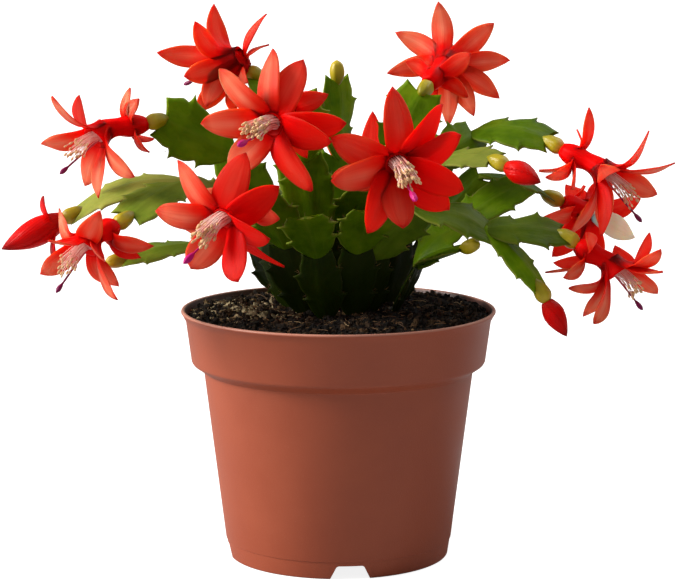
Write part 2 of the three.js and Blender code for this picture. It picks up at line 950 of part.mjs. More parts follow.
// The flowers, each in three pieces: the tube with its petals, the stamens, and the style with its stigma
for (const [name, bloom] of Object.entries(BLOOMS)) {
  const mouth = new THREE.Vector3(...bloom.mouth);
  const stigma = new THREE.Vector3(...bloom.stigma);
  const axis = stigma.clone().sub(mouth).normalize();
  const end = aim(bloom.on, mouth);
  const throat = offset(end.tip, [end.aim, OVARY_LENGTH + GAP]);
  const tubeLength = throat.distanceTo(mouth);
  const curve = new THREE.CubicBezierCurve3(
    throat,
    offset(throat, [end.aim, tubeLength * 0.4]),
    offset(mouth, [axis, -tubeLength * 0.35]),
    mouth,
  );
  const tube = TUBE_STATIONS.map(([share, wide]) =>
    ring(curve.getPoint(share), curve.getTangent(share), wide * MOUTH_RADIUS, TUBE_SIDES),
  );
  const bodies = [skin(tube)];
  for (const [turn, opening, reach] of bloom.upper) {
    bodies.push(petalBody(mouth, axis, turn, opening, reach, bloom.width ?? UPPER_WIDTH, UPPER_STATIONS));
  }
  const behind = offset(throat, [end.aim, LOWER_SHARE * tubeLength]);
  for (const [turn, opening, reach] of bloom.lower) {
    bodies.push(petalBody(behind, end.aim, turn, opening, reach, LOWER_WIDTH, LOWER_STATIONS));
  }
  place(`${name}_petals`, join(bodies), "petals");

  // The stamens stand in a fan above the style, each with a fatter anther at its end
  const upright = offset(UP, [axis, -axis.dot(UP)]).normalize();
  const right = new THREE.Vector3().crossVectors(upright, axis);
  const face = offset(mouth, [axis, GAP]);
  const core = [
    [0, STAMEN_CORE_RADIUS],
    [STAMEN_CORE_HEIGHT, STAMEN_CORE_RADIUS * 0.8],
  ];
  const seat = offset(face, [upright, STAMEN_CORE_LIFT]);
  const stamens = [turned(seat, axis, core, END_SIDES)];
  for (let filament = 0; filament < FILAMENTS; filament += 1) {
    const row = filament % 2 ? -1 : 1;
    const spread = (2 * filament) / (FILAMENTS - 1) - 1;
    const reach = FILAMENT_SHARE * mouth.distanceTo(stigma) * (0.75 + 0.25 * scatter(seat.x, filament));
    const foot = offset(seat, [right, spread * STAMEN_FOOT_SPREAD], [upright, row * STAMEN_FOOT_ROW]);
    const rise = STAMEN_RISE + row * STAMEN_ROW - Math.abs(spread);
    const top = offset(seat, [axis, reach], [right, spread * STAMEN_SPREAD], [upright, rise]);
    const direction = top.clone().sub(foot).normalize();
    const length = top.distanceTo(foot);
    const profile = [
      [0, 0],
      [STAMEN_CORE_HEIGHT + 1, FILAMENT_RADIUS],
      [length - ANTHER_LENGTH, ANTHER_RADIUS],
      [length, 0],
    ];
    stamens.push(turned(foot, direction, profile, 3));
  }
  place(`${name}_stamens`, join(stamens), "stamens");

  // The style and its stigma, from the lower side of the mouth
  const styleFoot = offset(face, [upright, -STYLE_DROP]);
  const styleAxis = stigma.clone().sub(styleFoot).normalize();
  const styleLength = stigma.distanceTo(styleFoot);
  const style = [
    [0, STYLE_RADIUS],
    [styleLength - STIGMA_LENGTH, STYLE_RADIUS],
    [styleLength - STIGMA_LENGTH * 0.6, STIGMA_RADIUS],
    [styleLength - STIGMA_LENGTH * 0.2, STIGMA_RADIUS * 0.9],
    [styleLength, STIGMA_RADIUS * 0.2],
  ];
  place(`${name}_pistil`, turned(styleFoot, styleAxis, style, STYLE_SIDES), "pistil");
}

// The red buds: pointed, ridged and a little twisted
for (const [name, bud] of Object.entries(BUDS)) {
  const tip = new THREE.Vector3(...bud.tip);
  const end = aim(bud.on, tip);
  const start = offset(end.tip, [end.aim, OVARY_LENGTH + GAP]);
  const length = start.distanceTo(tip);
  const rings = BUD_STATIONS.map(([share, wide]) =>
    ring(
      offset(start, [end.aim, share * length]),
      end.aim,
      wide * bud.radius,
      BUD_SIDES,
      share * BUD_TWIST,
      BUD_RIDGE,
    ),
  );
  const bodies = [skin(rings)];
  const shoulder = offset(start, [end.aim, BUD_SHOULDER]);
  for (const [turn, opening, reach] of bud.lower ?? []) {
    bodies.push(petalBody(shoulder, end.aim, turn, opening, reach, LOWER_WIDTH, LOWER_STATIONS));
  }
  place(name, join(bodies), "bud");
}

// The ovaries and the small green buds finish the stems
for (const [name, { bodies, ends }] of Object.entries(grown)) {
  for (const end of ends) {
    if (end.kind === "ovary") {
      bodies.push(turned(end.tip, end.aim, OVARY_PROFILE, END_SIDES));
    }
    if (end.kind === "bud") {
      bodies.push(turned(end.tip, end.along, GREEN_BUD_PROFILE, END_SIDES));
    }
  }
  place(name, join(bodies), "stem");
}

export default group;
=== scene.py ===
# %% [markdown]
# # A flowering Christmas cactus in its pot
# The plant is a cluster of flat green stem segments, called pads, joined end to end. Each arching stem
# ends in a red flower with two tiers of petals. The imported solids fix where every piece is. This lesson
# models each piece again as a fine mesh in the same place, gives it a finish made of nodes, and lights
# it like a studio photograph.

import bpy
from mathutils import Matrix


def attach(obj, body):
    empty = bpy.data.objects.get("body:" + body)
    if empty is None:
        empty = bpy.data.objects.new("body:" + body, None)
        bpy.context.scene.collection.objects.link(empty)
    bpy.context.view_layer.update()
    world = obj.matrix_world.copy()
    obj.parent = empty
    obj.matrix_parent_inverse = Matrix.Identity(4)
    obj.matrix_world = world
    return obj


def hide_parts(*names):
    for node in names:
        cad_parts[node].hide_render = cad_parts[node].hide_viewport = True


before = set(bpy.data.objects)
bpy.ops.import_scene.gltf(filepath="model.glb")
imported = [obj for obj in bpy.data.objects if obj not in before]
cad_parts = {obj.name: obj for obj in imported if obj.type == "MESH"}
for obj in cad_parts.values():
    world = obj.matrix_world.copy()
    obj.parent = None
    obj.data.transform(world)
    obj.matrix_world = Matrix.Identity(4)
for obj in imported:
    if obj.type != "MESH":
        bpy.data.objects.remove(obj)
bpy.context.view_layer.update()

# %% [markdown]
# ## Camera
# A product photograph is taken from some way off with a long lens, so that the pot's sides stay nearly
# parallel. The rim's ellipse gives the tilt, 9 degrees down. It hardly tells the distance, so the 0.95 m
# are a choice. The lens and the camera's height, a little above the flowers, go with that distance.

# %% Camera
import math

import bpy
import numpy as np

CAMERA_PLACE = (0.0004, -0.95, 0.2512)
CAMERA_DOWN = 8.95
FOCAL_PIXELS = 2522.4
PHOTO_WIDTH = 679

camera_data = bpy.data.cameras.new("camera")
camera_data.sensor_width = 36
camera_data.lens = FOCAL_PIXELS / PHOTO_WIDTH * camera_data.sensor_width
camera = bpy.data.objects.new("camera", camera_data)
camera.location = CAMERA_PLACE
camera.rotation_euler = (math.radians(90 - CAMERA_DOWN), 0, 0)
bpy.context.scene.collection.objects.link(camera)
bpy.context.scene.camera = camera
print("lens in mm:", round(camera_data.lens, 1))

# %% [markdown]
# ## Node helpers
# A node tree is easier to read when each node is one line. `add` makes a node in any tree, geometry or
# shader. Each of its inputs takes a plain value, another node's output to link, or a list of outputs.
# It gives back the output that the next node needs.

# %% Make nodes
def add(tree, kind, inputs=None, out=0, **settings):
    node = tree.nodes.new(kind)
    for name, value in settings.items():
        setattr(node, name, value)
    for name, given in (inputs or {}).items():
        for value in given if isinstance(given, list) else [given]:
            if isinstance(value, bpy.types.NodeSocket):
                tree.links.new(value, node.inputs[name])
            else:
                node.inputs[name].default_value = value
    return node.outputs[out]


def reckon(tree, kind, *values):
    """One step of arithmetic on plain values or other nodes' outputs."""
    return add(tree, "ShaderNodeMath", dict(enumerate(values)), operation=kind)


def mapped(tree, value, low, high, at_low, at_high, **settings):
    """Turns the span of values from low to high into another span, and goes no further."""
    spans = {"From Min": low, "From Max": high, "To Min": at_low, "To Max": at_high}
    return add(tree, "ShaderNodeMapRange", {"Value": value, **spans}, **settings)


def off_axis(tree, place):
    """How far a place is from the pot's upright axis."""
    flat = add(tree, "ShaderNodeVectorMath", {0: place, 1: (1, 1, 0)}, operation="MULTIPLY")
    return add(tree, "ShaderNodeVectorMath", {0: flat}, "Value", operation="LENGTH")


print("helpers for one node:", [helper.__name__ for helper in (add, reckon, mapped, off_axis)])

# %% Make and run trees
def new_tree(kind, name, inputs, outputs):
    """An empty tree. Each named input has its start value, or else its kind, and each output its kind."""
    tree = bpy.data.node_groups.new(name, kind)
    for label, start in inputs.items():
        socket = {float: "Float", int: "Int"}.get(type(start), start)
        made = tree.interface.new_socket(label, in_out="INPUT", socket_type="NodeSocket" + socket)
        if start != socket:
            made.default_value = start
    for label, socket in outputs.items():
        tree.interface.new_socket(label, in_out="OUTPUT", socket_type="NodeSocket" + socket)
    return tree, tree.nodes.new("NodeGroupInput").outputs, tree.nodes.new("NodeGroupOutput").inputs


def geometry_tree(name, inputs):
    shape = {"Geometry": "Geometry"}
    return new_tree("GeometryNodeTree", name, {**shape, **inputs}, shape)


def run_tree(piece, tree, values):
    """Runs a Geometry Nodes tree on a piece and keeps the result as the piece's plain mesh."""
    modifier = piece.modifiers.new(tree.name, "NODES")
    modifier.node_group = tree
    for item in tree.interface.items_tree:
        if item.in_out == "INPUT" and item.name in values:
            modifier[item.identifier] = values[item.name]
    evaluated = piece.evaluated_get(bpy.context.evaluated_depsgraph_get())
    mesh = bpy.data.meshes.new_from_object(evaluated)
    piece.modifiers.remove(modifier)
    piece.data = mesh


print("helpers for a tree:", [helper.__name__ for helper in (new_tree, geometry_tree, run_tree)])

# %% Nodes that several geometry trees share
def swept(tree, path, outline, caps=True):
    """A skin that an outline leaves as it is pulled along a path."""
    return add(tree, "GeometryNodeCurveToMesh", {"Curve": path, "Profile Curve": outline, "Fill Caps": caps})


def realized(tree, copies):
    return add(tree, "GeometryNodeRealizeInstances", {"Geometry": copies})


def dressed(tree, shape, finish):
    return add(tree, "GeometryNodeSetMaterial", {"Geometry": shape, "Material": finish})


def chance(tree, least, most, seed):
    """A random number between two limits, or three of them where the limits have three."""
    if isinstance(least, tuple):
        limits = {0: least, 1: most, "Seed": seed}
        return add(tree, "FunctionNodeRandomValue", limits, data_type="FLOAT_VECTOR")
    return add(tree, "FunctionNodeRandomValue", {2: least, 3: most, "Seed": seed}, 1, data_type="FLOAT")


def aligned(tree, way):
    """The turn that points a shape's Z axis along a way."""
    return add(tree, "FunctionNodeAlignRotationToVector", {"Vector": way}, axis="Z")


print("shared steps:", [helper.__name__ for helper in (swept, realized, dressed, chance, aligned)])

# %% [markdown]
# ## Shader groups that several finishes share
# A living surface is never one even colour. Two small groups supply the variation: one has soft
# blotches and a fine grain, and the other has veins and a midrib that run along a petal or a pad. They
# put out only masks and heights, so each finish decides what the mask colours.

# %% Blotches and grain
def value_of(tree, name):
    """A value that the points of a mesh carry."""
    return add(tree, "ShaderNodeAttribute", out="Fac", attribute_name=name)


def blotch_group():
    """Soft cloudy patches, and a fine grain, both from the place in the piece in metres."""
    sizes, masks = {"Patch Size": 0.01, "Grain Size": 0.0005}, {"Patches": "Float", "Grain": "Float"}
    tree, given, result = new_tree("ShaderNodeTree", "blotches", sizes, masks)
    place = add(tree, "ShaderNodeTexCoord", out="Object")
    for size, detail, label in (("Patch Size", 3, "Patches"), ("Grain Size", 1, "Grain")):
        scale = reckon(tree, "DIVIDE", 1.0, given[size])
        look = {"Vector": place, "Scale": scale, "Detail": detail, "Roughness": 0.6}
        tree.links.new(add(tree, "ShaderNodeTexNoise", look, "Fac"), result[label])
    return tree


blotches = blotch_group()

# %% Veins
OWN_STREAKS = 37.0


def vein_group():
    """Fine lines along a blade: the values "along" and "across" stretch a noise into streaks."""
    sizes = {"Count": 9.0, "Stretch": 0.7, "Midrib Width": 0.1}
    tree, given, result = new_tree("ShaderNodeTree", "veins", sizes, {"Veins": "Float", "Midrib": "Float"})
    across = value_of(tree, "across")
    streak = {
        "X": reckon(tree, "MULTIPLY", across, given["Count"]),
        "Y": reckon(tree, "MULTIPLY", value_of(tree, "along"), given["Stretch"]),
        "Z": reckon(tree, "MULTIPLY", value_of(tree, "tone"), OWN_STREAKS),
    }
    look = {"Vector": add(tree, "ShaderNodeCombineXYZ", streak), "Scale": 1.0, "Detail": 2.0}
    tree.links.new(add(tree, "ShaderNodeTexNoise", look, "Fac"), result["Veins"])
    beside = reckon(tree, "ABSOLUTE", across)
    rib = mapped(tree, beside, 0.0, given["Midrib Width"], 1.0, 0.0, interpolation_type="SMOOTHSTEP")
    tree.links.new(rib, result["Midrib"])
    return tree


veins = vein_group()
print("shader groups:", [tree.name for tree in (blotches, veins)])

# %% [markdown]
# ## Finish helpers
# Colours are written as screen values from 0 to 255 and turned into the linear values that the shader
# works in. Each finish is one Principled BSDF. Its even values, such as gloss, go straight on its
# sockets, and only what changes over the surface comes from nodes.

# %% Colours
def screen(red, green, blue):
    """A colour as seen on a screen, as the linear values of a shader."""
    linear = [((v / 255 + 0.055) / 1.055) ** 2.4 if v > 10 else v / 255 / 12.92 for v in (red, green, blue)]
    return (*linear, 1.0)


def ramp(tree, value, *stops):
    """A colour or a grey that changes with a value, through stops of place and colour."""
    colour = add(tree, "ShaderNodeValToRGB", {"Fac": value})
    bar = colour.node.color_ramp.elements
    while len(bar) < len(stops):
        bar.new(0.5)
    for stop, (place, shade) in zip(bar, stops):
        stop.position = place
        stop.color = screen(*shade) if isinstance(shade, tuple) else (shade, shade, shade, 1.0)
    return colour


def blend(tree, share, low, high):
    """Mixes two colours by a share."""
    high = screen(*high) if isinstance(high, tuple) else high
    return add(tree, "ShaderNodeMix", {"Factor": share, 6: low, 7: high}, 2, data_type="RGBA")


def lay_over(tree, colour, *layers):
    """Lays colours over one another. Each has a value, the ends of the ramp that masks it, and itself."""
    for value, first, last, over in layers:
        colour = blend(tree, ramp(tree, value, first, last), colour, over)
    return colour


print("middle grey as a linear value:", round(screen(128, 128, 128)[0], 3))

# %% Finishes
def in_words(sockets):
    """Socket names from keywords, which have low lines for blanks."""
    return {label.replace("_", " "): value for label, value in sockets.items()}


def new_finish(name, **sockets):
    """A material with one Principled BSDF, and that shader's plain values."""
    material = bpy.data.materials.new(name)
    material.use_nodes = True
    shader = material.node_tree.nodes["Principled BSDF"]
    for label, value in in_words(sockets).items():
        shader.inputs[label].default_value = value
    return material, material.node_tree, shader


def feed(tree, shader, **sockets):
    """Links what changes over the surface to the shader."""
    for label, value in in_words(sockets).items():
        tree.links.new(value, shader.inputs[label])


def use_group(tree, group, **values):
    """Places a shader group in a material with its own values."""
    return add(tree, "ShaderNodeGroup", in_words(values), node_tree=group).node.outputs


def relief(tree, shader, height, depth):
    """Bumps a surface by a height, with the depth in metres."""
    bump = {"Height": height, "Distance": depth, "Strength": 1.0}
    feed(tree, shader, Normal=add(tree, "ShaderNodeBump", bump))


def mottled_finish(name, patch_size, grain_size, low, high, depth=0, **sockets):
    """Soft patches of two colours, each with its place on the ramp, and a grain where there is a depth."""
    material, tree, shader = new_finish(name, **sockets)
    cloud = use_group(tree, blotches, Patch_Size=patch_size, Grain_Size=grain_size)
    feed(tree, shader, Base_Color=ramp(tree, cloud["Patches"], low, high))
    if depth:
        relief(tree, shader, cloud["Grain"], depth)
    return material


print("socket names:", list(in_words({"Base_Color": 0, "Specular_IOR_Level": 0})))

# %% [markdown]
# ## Sums with points and mesh patches
# Every part of the plant is a skin over a row of rings: a stem pad, a petal, a flower's tube and a bud
# all differ only in the rings. The sums are in millimetres, and each patch keeps a few values at every
# point, such as how far along the petal it is, which the finishes read later.

# %% Directions and smooth lines
MM = 0.001
UP = np.array((0.0, 0.0, 1.0))


def unit(vector):
    return vector / np.linalg.norm(vector, axis=-1, keepdims=True)


def upright_frame(axis):
    """The directions upright and to the right round an axis."""
    upright = unit(UP - axis * (axis @ UP))
    return upright, np.cross(upright, axis)


def bezier(controls, shares):
    """The places and the directions along a curve through its control points."""
    degree = len(controls) - 1
    share = np.asarray(shares)[:, None]
    place = sum(
        math.comb(degree, i) * (1 - share) ** (degree - i) * share**i * control
        for i, control in enumerate(controls)
    )
    slope = sum(
        math.comb(degree - 1, i) * (1 - share) ** (degree - 1 - i) * share**i * (after - before)
        for i, (before, after) in enumerate(zip(controls, controls[1:]))
    )
    return place, unit(slope)


def smooth(stations, shares):
    """Reads a smooth line that goes through stations of share and value."""
    x, y = np.array(stations, float).T
    slope = np.gradient(y, x)
    i = np.clip(np.searchsorted(x, shares, side="right") - 1, 0, len(x) - 2)
    step = x[i + 1] - x[i]
    t = (shares - x[i]) / step
    ends = (1 + 2 * t) * (1 - t) ** 2 * y[i] + t * t * (3 - 2 * t) * y[i + 1]
    return ends + step * t * (1 - t) * ((1 - t) * slope[i] - t * slope[i + 1])


corner = [np.zeros(3), UP, np.array((1.0, 0.0, 1.0))]
print("halfway round a corner:", bezier(corner, [0.5])[0].round(2).tolist())

# %% Patches and pieces
VALUES = ("along", "across", "tone", "pale")


def patch(rings, finish=0, **values):
    """A closed skin over rings of as many points each. Its faces look outward."""
    rows, sides = rings.shape[:2]
    first = np.arange(rows - 1)[:, None] * sides + np.arange(sides)[None, :]
    after = np.roll(first, -1, axis=1)
    quads = np.stack([first, after, after + sides, first + sides], axis=-1).reshape(-1, 4)
    caps = [list(range(sides))[::-1], list(range((rows - 1) * sides, rows * sides))]
    middle = rows // 2
    spokes = rings[middle] - rings[middle].mean(0)
    winding = np.cross(spokes, np.roll(spokes, -1, axis=0)).sum(0)
    if winding @ (rings[middle].mean(0) - rings[middle - 1].mean(0)) < 0:
        quads = quads[:, ::-1]
        caps = [cap[::-1] for cap in caps]
    spread = {name: np.broadcast_to(value, (rows, sides)).ravel() for name, value in values.items()}
    faces = quads.tolist() + caps
    return {"points": rings.reshape(-1, 3), "faces": faces, "finish": finish, "values": spread}


def new_object(name, points, edges, faces):
    """An object at the origin with a plain mesh, from points in millimetres."""
    mesh = bpy.data.meshes.new(name)
    mesh.from_pydata(np.asarray(points) * MM, edges, faces)
    piece = bpy.data.objects.new(name, mesh)
    bpy.context.scene.collection.objects.link(piece)
    return piece


def make_piece(name, patches, finishes):
    """One mesh object from patches, with the values of every point kept as attributes."""
    faces, slots, start = [], [], 0
    for part in patches:
        faces.extend([[corner + start for corner in face] for face in part["faces"]])
        slots.extend([part["finish"]] * len(part["faces"]))
        start += len(part["points"])
    piece = new_object(name, np.concatenate([part["points"] for part in patches]), [], faces)
    mesh = piece.data
    mesh.polygons.foreach_set("material_index", slots)
    for label in VALUES:
        column = [part["values"].get(label, np.zeros(len(part["points"]))) for part in patches]
        mesh.attributes.new(label, "FLOAT", "POINT").data.foreach_set("value", np.concatenate(column))
    for finish in finishes:
        mesh.materials.append(finish)
    mesh.shade_smooth()
    return piece


def stand_for(piece, node):
    """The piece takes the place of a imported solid, on the one body that this plant has."""
    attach(piece, "root")
    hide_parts(node)
    print(piece.name, "faces:", len(piece.data.polygons))


print("values that a patch can carry:", VALUES)

# %% [markdown]
# ## The pot
# The pot is one moulded wall, turned round its axis: a rolled bead at the lip, a deep collar, a rounded
# shoulder and a stepped foot. A Geometry Nodes tree sweeps the wall's closed profile round a tiny
# circle, which is the same as turning it on a lathe. The tree also cuts the four notches of the foot and
# the drain holes behind them. The middle drain hole is simply where the profile stops.

# %% Profile of the pot's wall
RIM_RADIUS = 60
POT_HEIGHT = 95.2
BEAD = 0.7
WALL = 1.3
LIP_WALL = 0.8
COLLAR_TOP = (58.2, 92.2)
COLLAR_FOOT = (56.2, 75.7)
SHOULDER = (51.4, 71.6)
STEP = (43.4, 6.9)
FOOT_RADIUS = 42.2
FOOT_RING = 1.3
FLOOR_Z = 8
FLOOR_THICKNESS = 1.6
DRAIN_RADIUS = 3.5


def arc(x, y, radius, first, last, steps):
    """Points on a round stretch, by its centre, its radius and its first and last angle."""
    angles = np.radians(np.linspace(first, last, steps))
    return [(x + radius * math.cos(a), y + radius * math.sin(a)) for a in angles]


def pot_profile():
    """The closed outline of the wall as radius and height: up the outside, over the lip, down inside."""
    foot_inside = FOOT_RADIUS - FOOT_RING
    return [
        (DRAIN_RADIUS, FLOOR_Z - FLOOR_THICKNESS),
        (foot_inside, FLOOR_Z - FLOOR_THICKNESS),
        (foot_inside, 0.4),
        *arc(foot_inside + 0.4, 0.4, 0.4, 180, 270, 4),
        *arc(FOOT_RADIUS - 0.7, 0.7, 0.7, 270, 350, 5),
        (STEP[0] - 0.3, STEP[1] - 0.25),
        *arc(STEP[0] - 0.3, STEP[1] + 0.05, 0.3, 290, 360, 3),
        (SHOULDER[0] - 0.12, SHOULDER[1] - 1.2),
        *arc(SHOULDER[0] + 0.9, SHOULDER[1] - 0.3, 1.0, 170, 110, 4),
        *arc(COLLAR_FOOT[0] - 2.2, COLLAR_FOOT[1] + 0.6, 2.2, 300, 350, 6),
        (COLLAR_TOP[0], COLLAR_TOP[1] - 1.0),
        *arc(RIM_RADIUS - BEAD, POT_HEIGHT - BEAD, BEAD, 300, 450, 10),
        *arc(RIM_RADIUS - 2 * BEAD + 0.5, POT_HEIGHT - 0.6, 0.6, 90, 180, 5),
        (COLLAR_TOP[0] - LIP_WALL, POT_HEIGHT - 2.6),
        (COLLAR_FOOT[0] - WALL, COLLAR_FOOT[1]),
        (SHOULDER[0] - WALL, SHOULDER[1]),
        (STEP[0] - WALL, FLOOR_Z),
        (DRAIN_RADIUS, FLOOR_Z),
    ]


profile = pot_profile()
print("points in the wall's profile:", len(profile))

# %% Turning and cutting tree
NOTCH_FILLET = 0.0013
CUTTER_REACH = 0.006
DRILL_DEPTH = 0.008


def pot_tree():
    sizes = {"Sides": 160, "Notches": 4, "Notch Turn": 0.0, "Notch Top": 0.01, "Notch Foot": 0.015,
             "Notch Height": 0.005, "Foot Radius": 0.04, "Drain Radius": 0.0035, "Drain Circle": 0.033}
    tree, given, result = geometry_tree("turned_pot", {**sizes, "Finish": "Material"})
    outline = add(tree, "GeometryNodeMeshToCurve", {"Mesh": given["Geometry"]})
    lathe = {"Resolution": given["Sides"], "Radius": 0.000001}
    wall = swept(tree, add(tree, "GeometryNodeCurvePrimitiveCircle", lathe), outline, False)
    slant = {
        "Bottom Width": given["Notch Foot"],
        "Top Width": given["Notch Top"],
        "Offset": 0.0,
        "Height": reckon(tree, "MULTIPLY", given["Notch Height"], 2.0),
    }
    shape = add(tree, "GeometryNodeCurvePrimitiveQuadrilateral", slant, mode="TRAPEZOID")
    fillet = {"Curve": shape, "Count": 4, "Radius": NOTCH_FILLET}
    rounded = add(tree, "GeometryNodeFilletCurve", fillet, mode="POLY")
    ends = {"Start": (0, 0, -CUTTER_REACH), "End": (0, 0, CUTTER_REACH)}
    cutter = swept(tree, add(tree, "GeometryNodeCurvePrimitiveLine", ends), rounded)
    bit = {"Vertices": 24, "Radius": given["Drain Radius"], "Depth": DRILL_DEPTH}
    drill = add(tree, "GeometryNodeMeshCylinder", bit, "Mesh")
    outward = aligned(tree, add(tree, "GeometryNodeInputPosition"))
    level = {"Rotation": outward, "Vector": (0, 0, 1)}
    square = add(tree, "FunctionNodeAlignRotationToVector", level, axis="Y", pivot_axis="Z")
    turn = add(tree, "ShaderNodeCombineXYZ", {"Z": given["Notch Turn"]})

    def all_round(tool, radius, height, rotation):
        """Copies of a cutting tool at even steps round the pot."""
        spots = add(tree, "GeometryNodeMeshCircle", {"Vertices": given["Notches"], "Radius": radius})
        set_out = {"Points": spots, "Instance": tool, "Rotation": rotation}
        copies = add(tree, "GeometryNodeInstanceOnPoints", set_out)
        moved = {"Geometry": copies, "Translation": (0, 0, height), "Rotation": turn}
        return realized(tree, add(tree, "GeometryNodeTransform", moved))

    notches = all_round(cutter, given["Foot Radius"], 0.0, square)
    drains = all_round(drill, given["Drain Circle"], FLOOR_Z * MM, (0, 0, 0))
    parts = {"Mesh 1": wall, "Mesh 2": [notches, drains]}
    cut = add(tree, "GeometryNodeMeshBoolean", parts, operation="DIFFERENCE", solver="EXACT")
    tree.links.new(dressed(tree, cut, given["Finish"]), result[0])
    return tree


turned_pot = pot_tree()
print("nodes in the pot's tree:", len(turned_pot.nodes))

# %% [markdown]
# ## The pot's finish
# The pot is terracotta-coloured plastic with a satin surface. The mould leaves a fine even grain, and
# handling leaves faint scuffs that are slightly duller. The thin lip is a little paler, a painted
# highlight along its edge, and the wall inside the lip is dark with painted shade. The rest hardly
# changes in colour, so the finish lives from its grain, its gloss and the light.

# %% Terracotta plastic
LIP_HIGHLIGHT = (0.0943, 0.095)
INNER_WALL = (0.0584, 0.0588)
SOIL_LINE = 0.0923


def pot_finish():
    material, tree, shader = new_finish("terracotta_plastic", Roughness=0.5, Specular_IOR_Level=0.42)
    cloud = use_group(tree, blotches, Patch_Size=0.03, Grain_Size=0.00045)
    colour = ramp(tree, cloud["Patches"], (0.3, (152, 69, 41)), (0.7, (160, 76, 47)))
    colour = lay_over(tree, colour, (cloud["Grain"], (0.66, 0.0), (0.8, 0.2), (184, 112, 86)))
    place = add(tree, "ShaderNodeTexCoord", out="Object")
    height = add(tree, "ShaderNodeSeparateXYZ", {"Vector": place}, "Z")
    # painted highlight: the top of the lip turns paler pink
    colour = blend(tree, mapped(tree, height, *LIP_HIGHLIGHT, 0.0, 0.6), colour, (216, 160, 138))
    # painted shade: the wall inside the lip, above the soil, turns dark brown
    inner = mapped(tree, off_axis(tree, place), *INNER_WALL, 0.8, 0.0)
    inner_shade = reckon(tree, "MULTIPLY", inner, reckon(tree, "GREATER_THAN", height, SOIL_LINE))
    colour = blend(tree, inner_shade, colour, (44, 26, 18))
    feed(tree, shader, Base_Color=colour, Roughness=ramp(tree, cloud["Patches"], (0.3, 0.42), (0.7, 0.54)))
    relief(tree, shader, cloud["Grain"], 0.00006)
    return material


terracotta = pot_finish()
print("pot finish:", terracotta.name)

# %% Make the pot
FLAT_ANGLE = 32

edges = [(i, (i + 1) % len(profile)) for i in range(len(profile))]
pot = new_object("pot_wall", [(radius, -height, 0) for radius, height in profile], edges, [])
notch = {"Notch Turn": math.radians(6), "Notch Top": 10 * MM, "Notch Foot": 20 * MM, "Notch Height": 5.2 * MM}
run_tree(pot, turned_pot, {**notch, "Foot Radius": (FOOT_RADIUS - 1) * MM, "Finish": terracotta})
pot.data.shade_smooth()
pot.data.set_sharp_from_angle(angle=math.radians(FLAT_ANGLE))
stand_for(pot, "pot")

# %% [markdown]
# ## The soil
# Potting compost is dark, coarse and full of bark chips, tan fibres and a few pale grains. The body of
# the soil only carries them. The tree scatters points over its top, puts a rough crumb, a flat chip or a
# bent fibre on each one with its own turn and size, and stores a random value in each, which the finish
# turns into a colour.

# %% Body of the soil
SOIL_EDGE_Z = 91
SOIL_MOUND = 1.5
SOIL_SIDES = 96
SOIL_RINGS = 26
SOIL_RISE = 2.7
SOIL_HILLS = 60
HILL_REACH = 50
HILL_WIDTHS = (6, 16)
HILL_HEIGHTS = (-1.2, 1.4)
HILL_SHARE = 0.7
SOIL_WALL = [(41.8, 8.3), (49.8, 71.6), (54.6, 76.0), (57.0, 93.2)]


def soil_body():
    draw = np.random.default_rng(11)
    angle = np.linspace(0, 2 * np.pi, SOIL_SIDES, endpoint=False)
    circle = np.stack([np.cos(angle), np.sin(angle), np.zeros(SOIL_SIDES)], axis=1)
    rings = [circle * radius + UP * height for radius, height in SOIL_WALL]
    hills = [
        (draw.uniform(-HILL_REACH, HILL_REACH, 2), draw.uniform(*HILL_WIDTHS), draw.uniform(*HILL_HEIGHTS))
        for _ in range(SOIL_HILLS)
    ]
    for radius in np.linspace(SOIL_WALL[-1][0] - 1, 0.5, SOIL_RINGS):
        ring = circle * radius
        height = SOIL_EDGE_Z + SOIL_MOUND * (1 - (radius / RIM_RADIUS) ** 2)
        bump = sum(
            size * np.exp(-((ring[:, 0] - spot[0]) ** 2 + (ring[:, 1] - spot[1]) ** 2) / wide**2)
            for spot, wide, size in hills
        )
        ring[:, 2] = height + bump * HILL_SHARE + SOIL_RISE
        rings.append(ring)
    return make_piece("soil_crumbs", [patch(np.stack(rings), 0, tone=0.2)], [])


soil = soil_body()
print("points in the body of the soil:", len(soil.data.vertices))

# %% Scatter tree
ROUGHNESS_SCALE = 900.0
ROUGHNESS = 2.2
LUMP_RADIUS = 0.001
CRUMB_RADIUS = 0.0006
FIBRE_RADIUS = 0.0001
FULL_TURN = (6.28, 6.28, 6.28)
LYING = ((-0.3, -0.3, 0), (0.3, 0.3, 6.28))


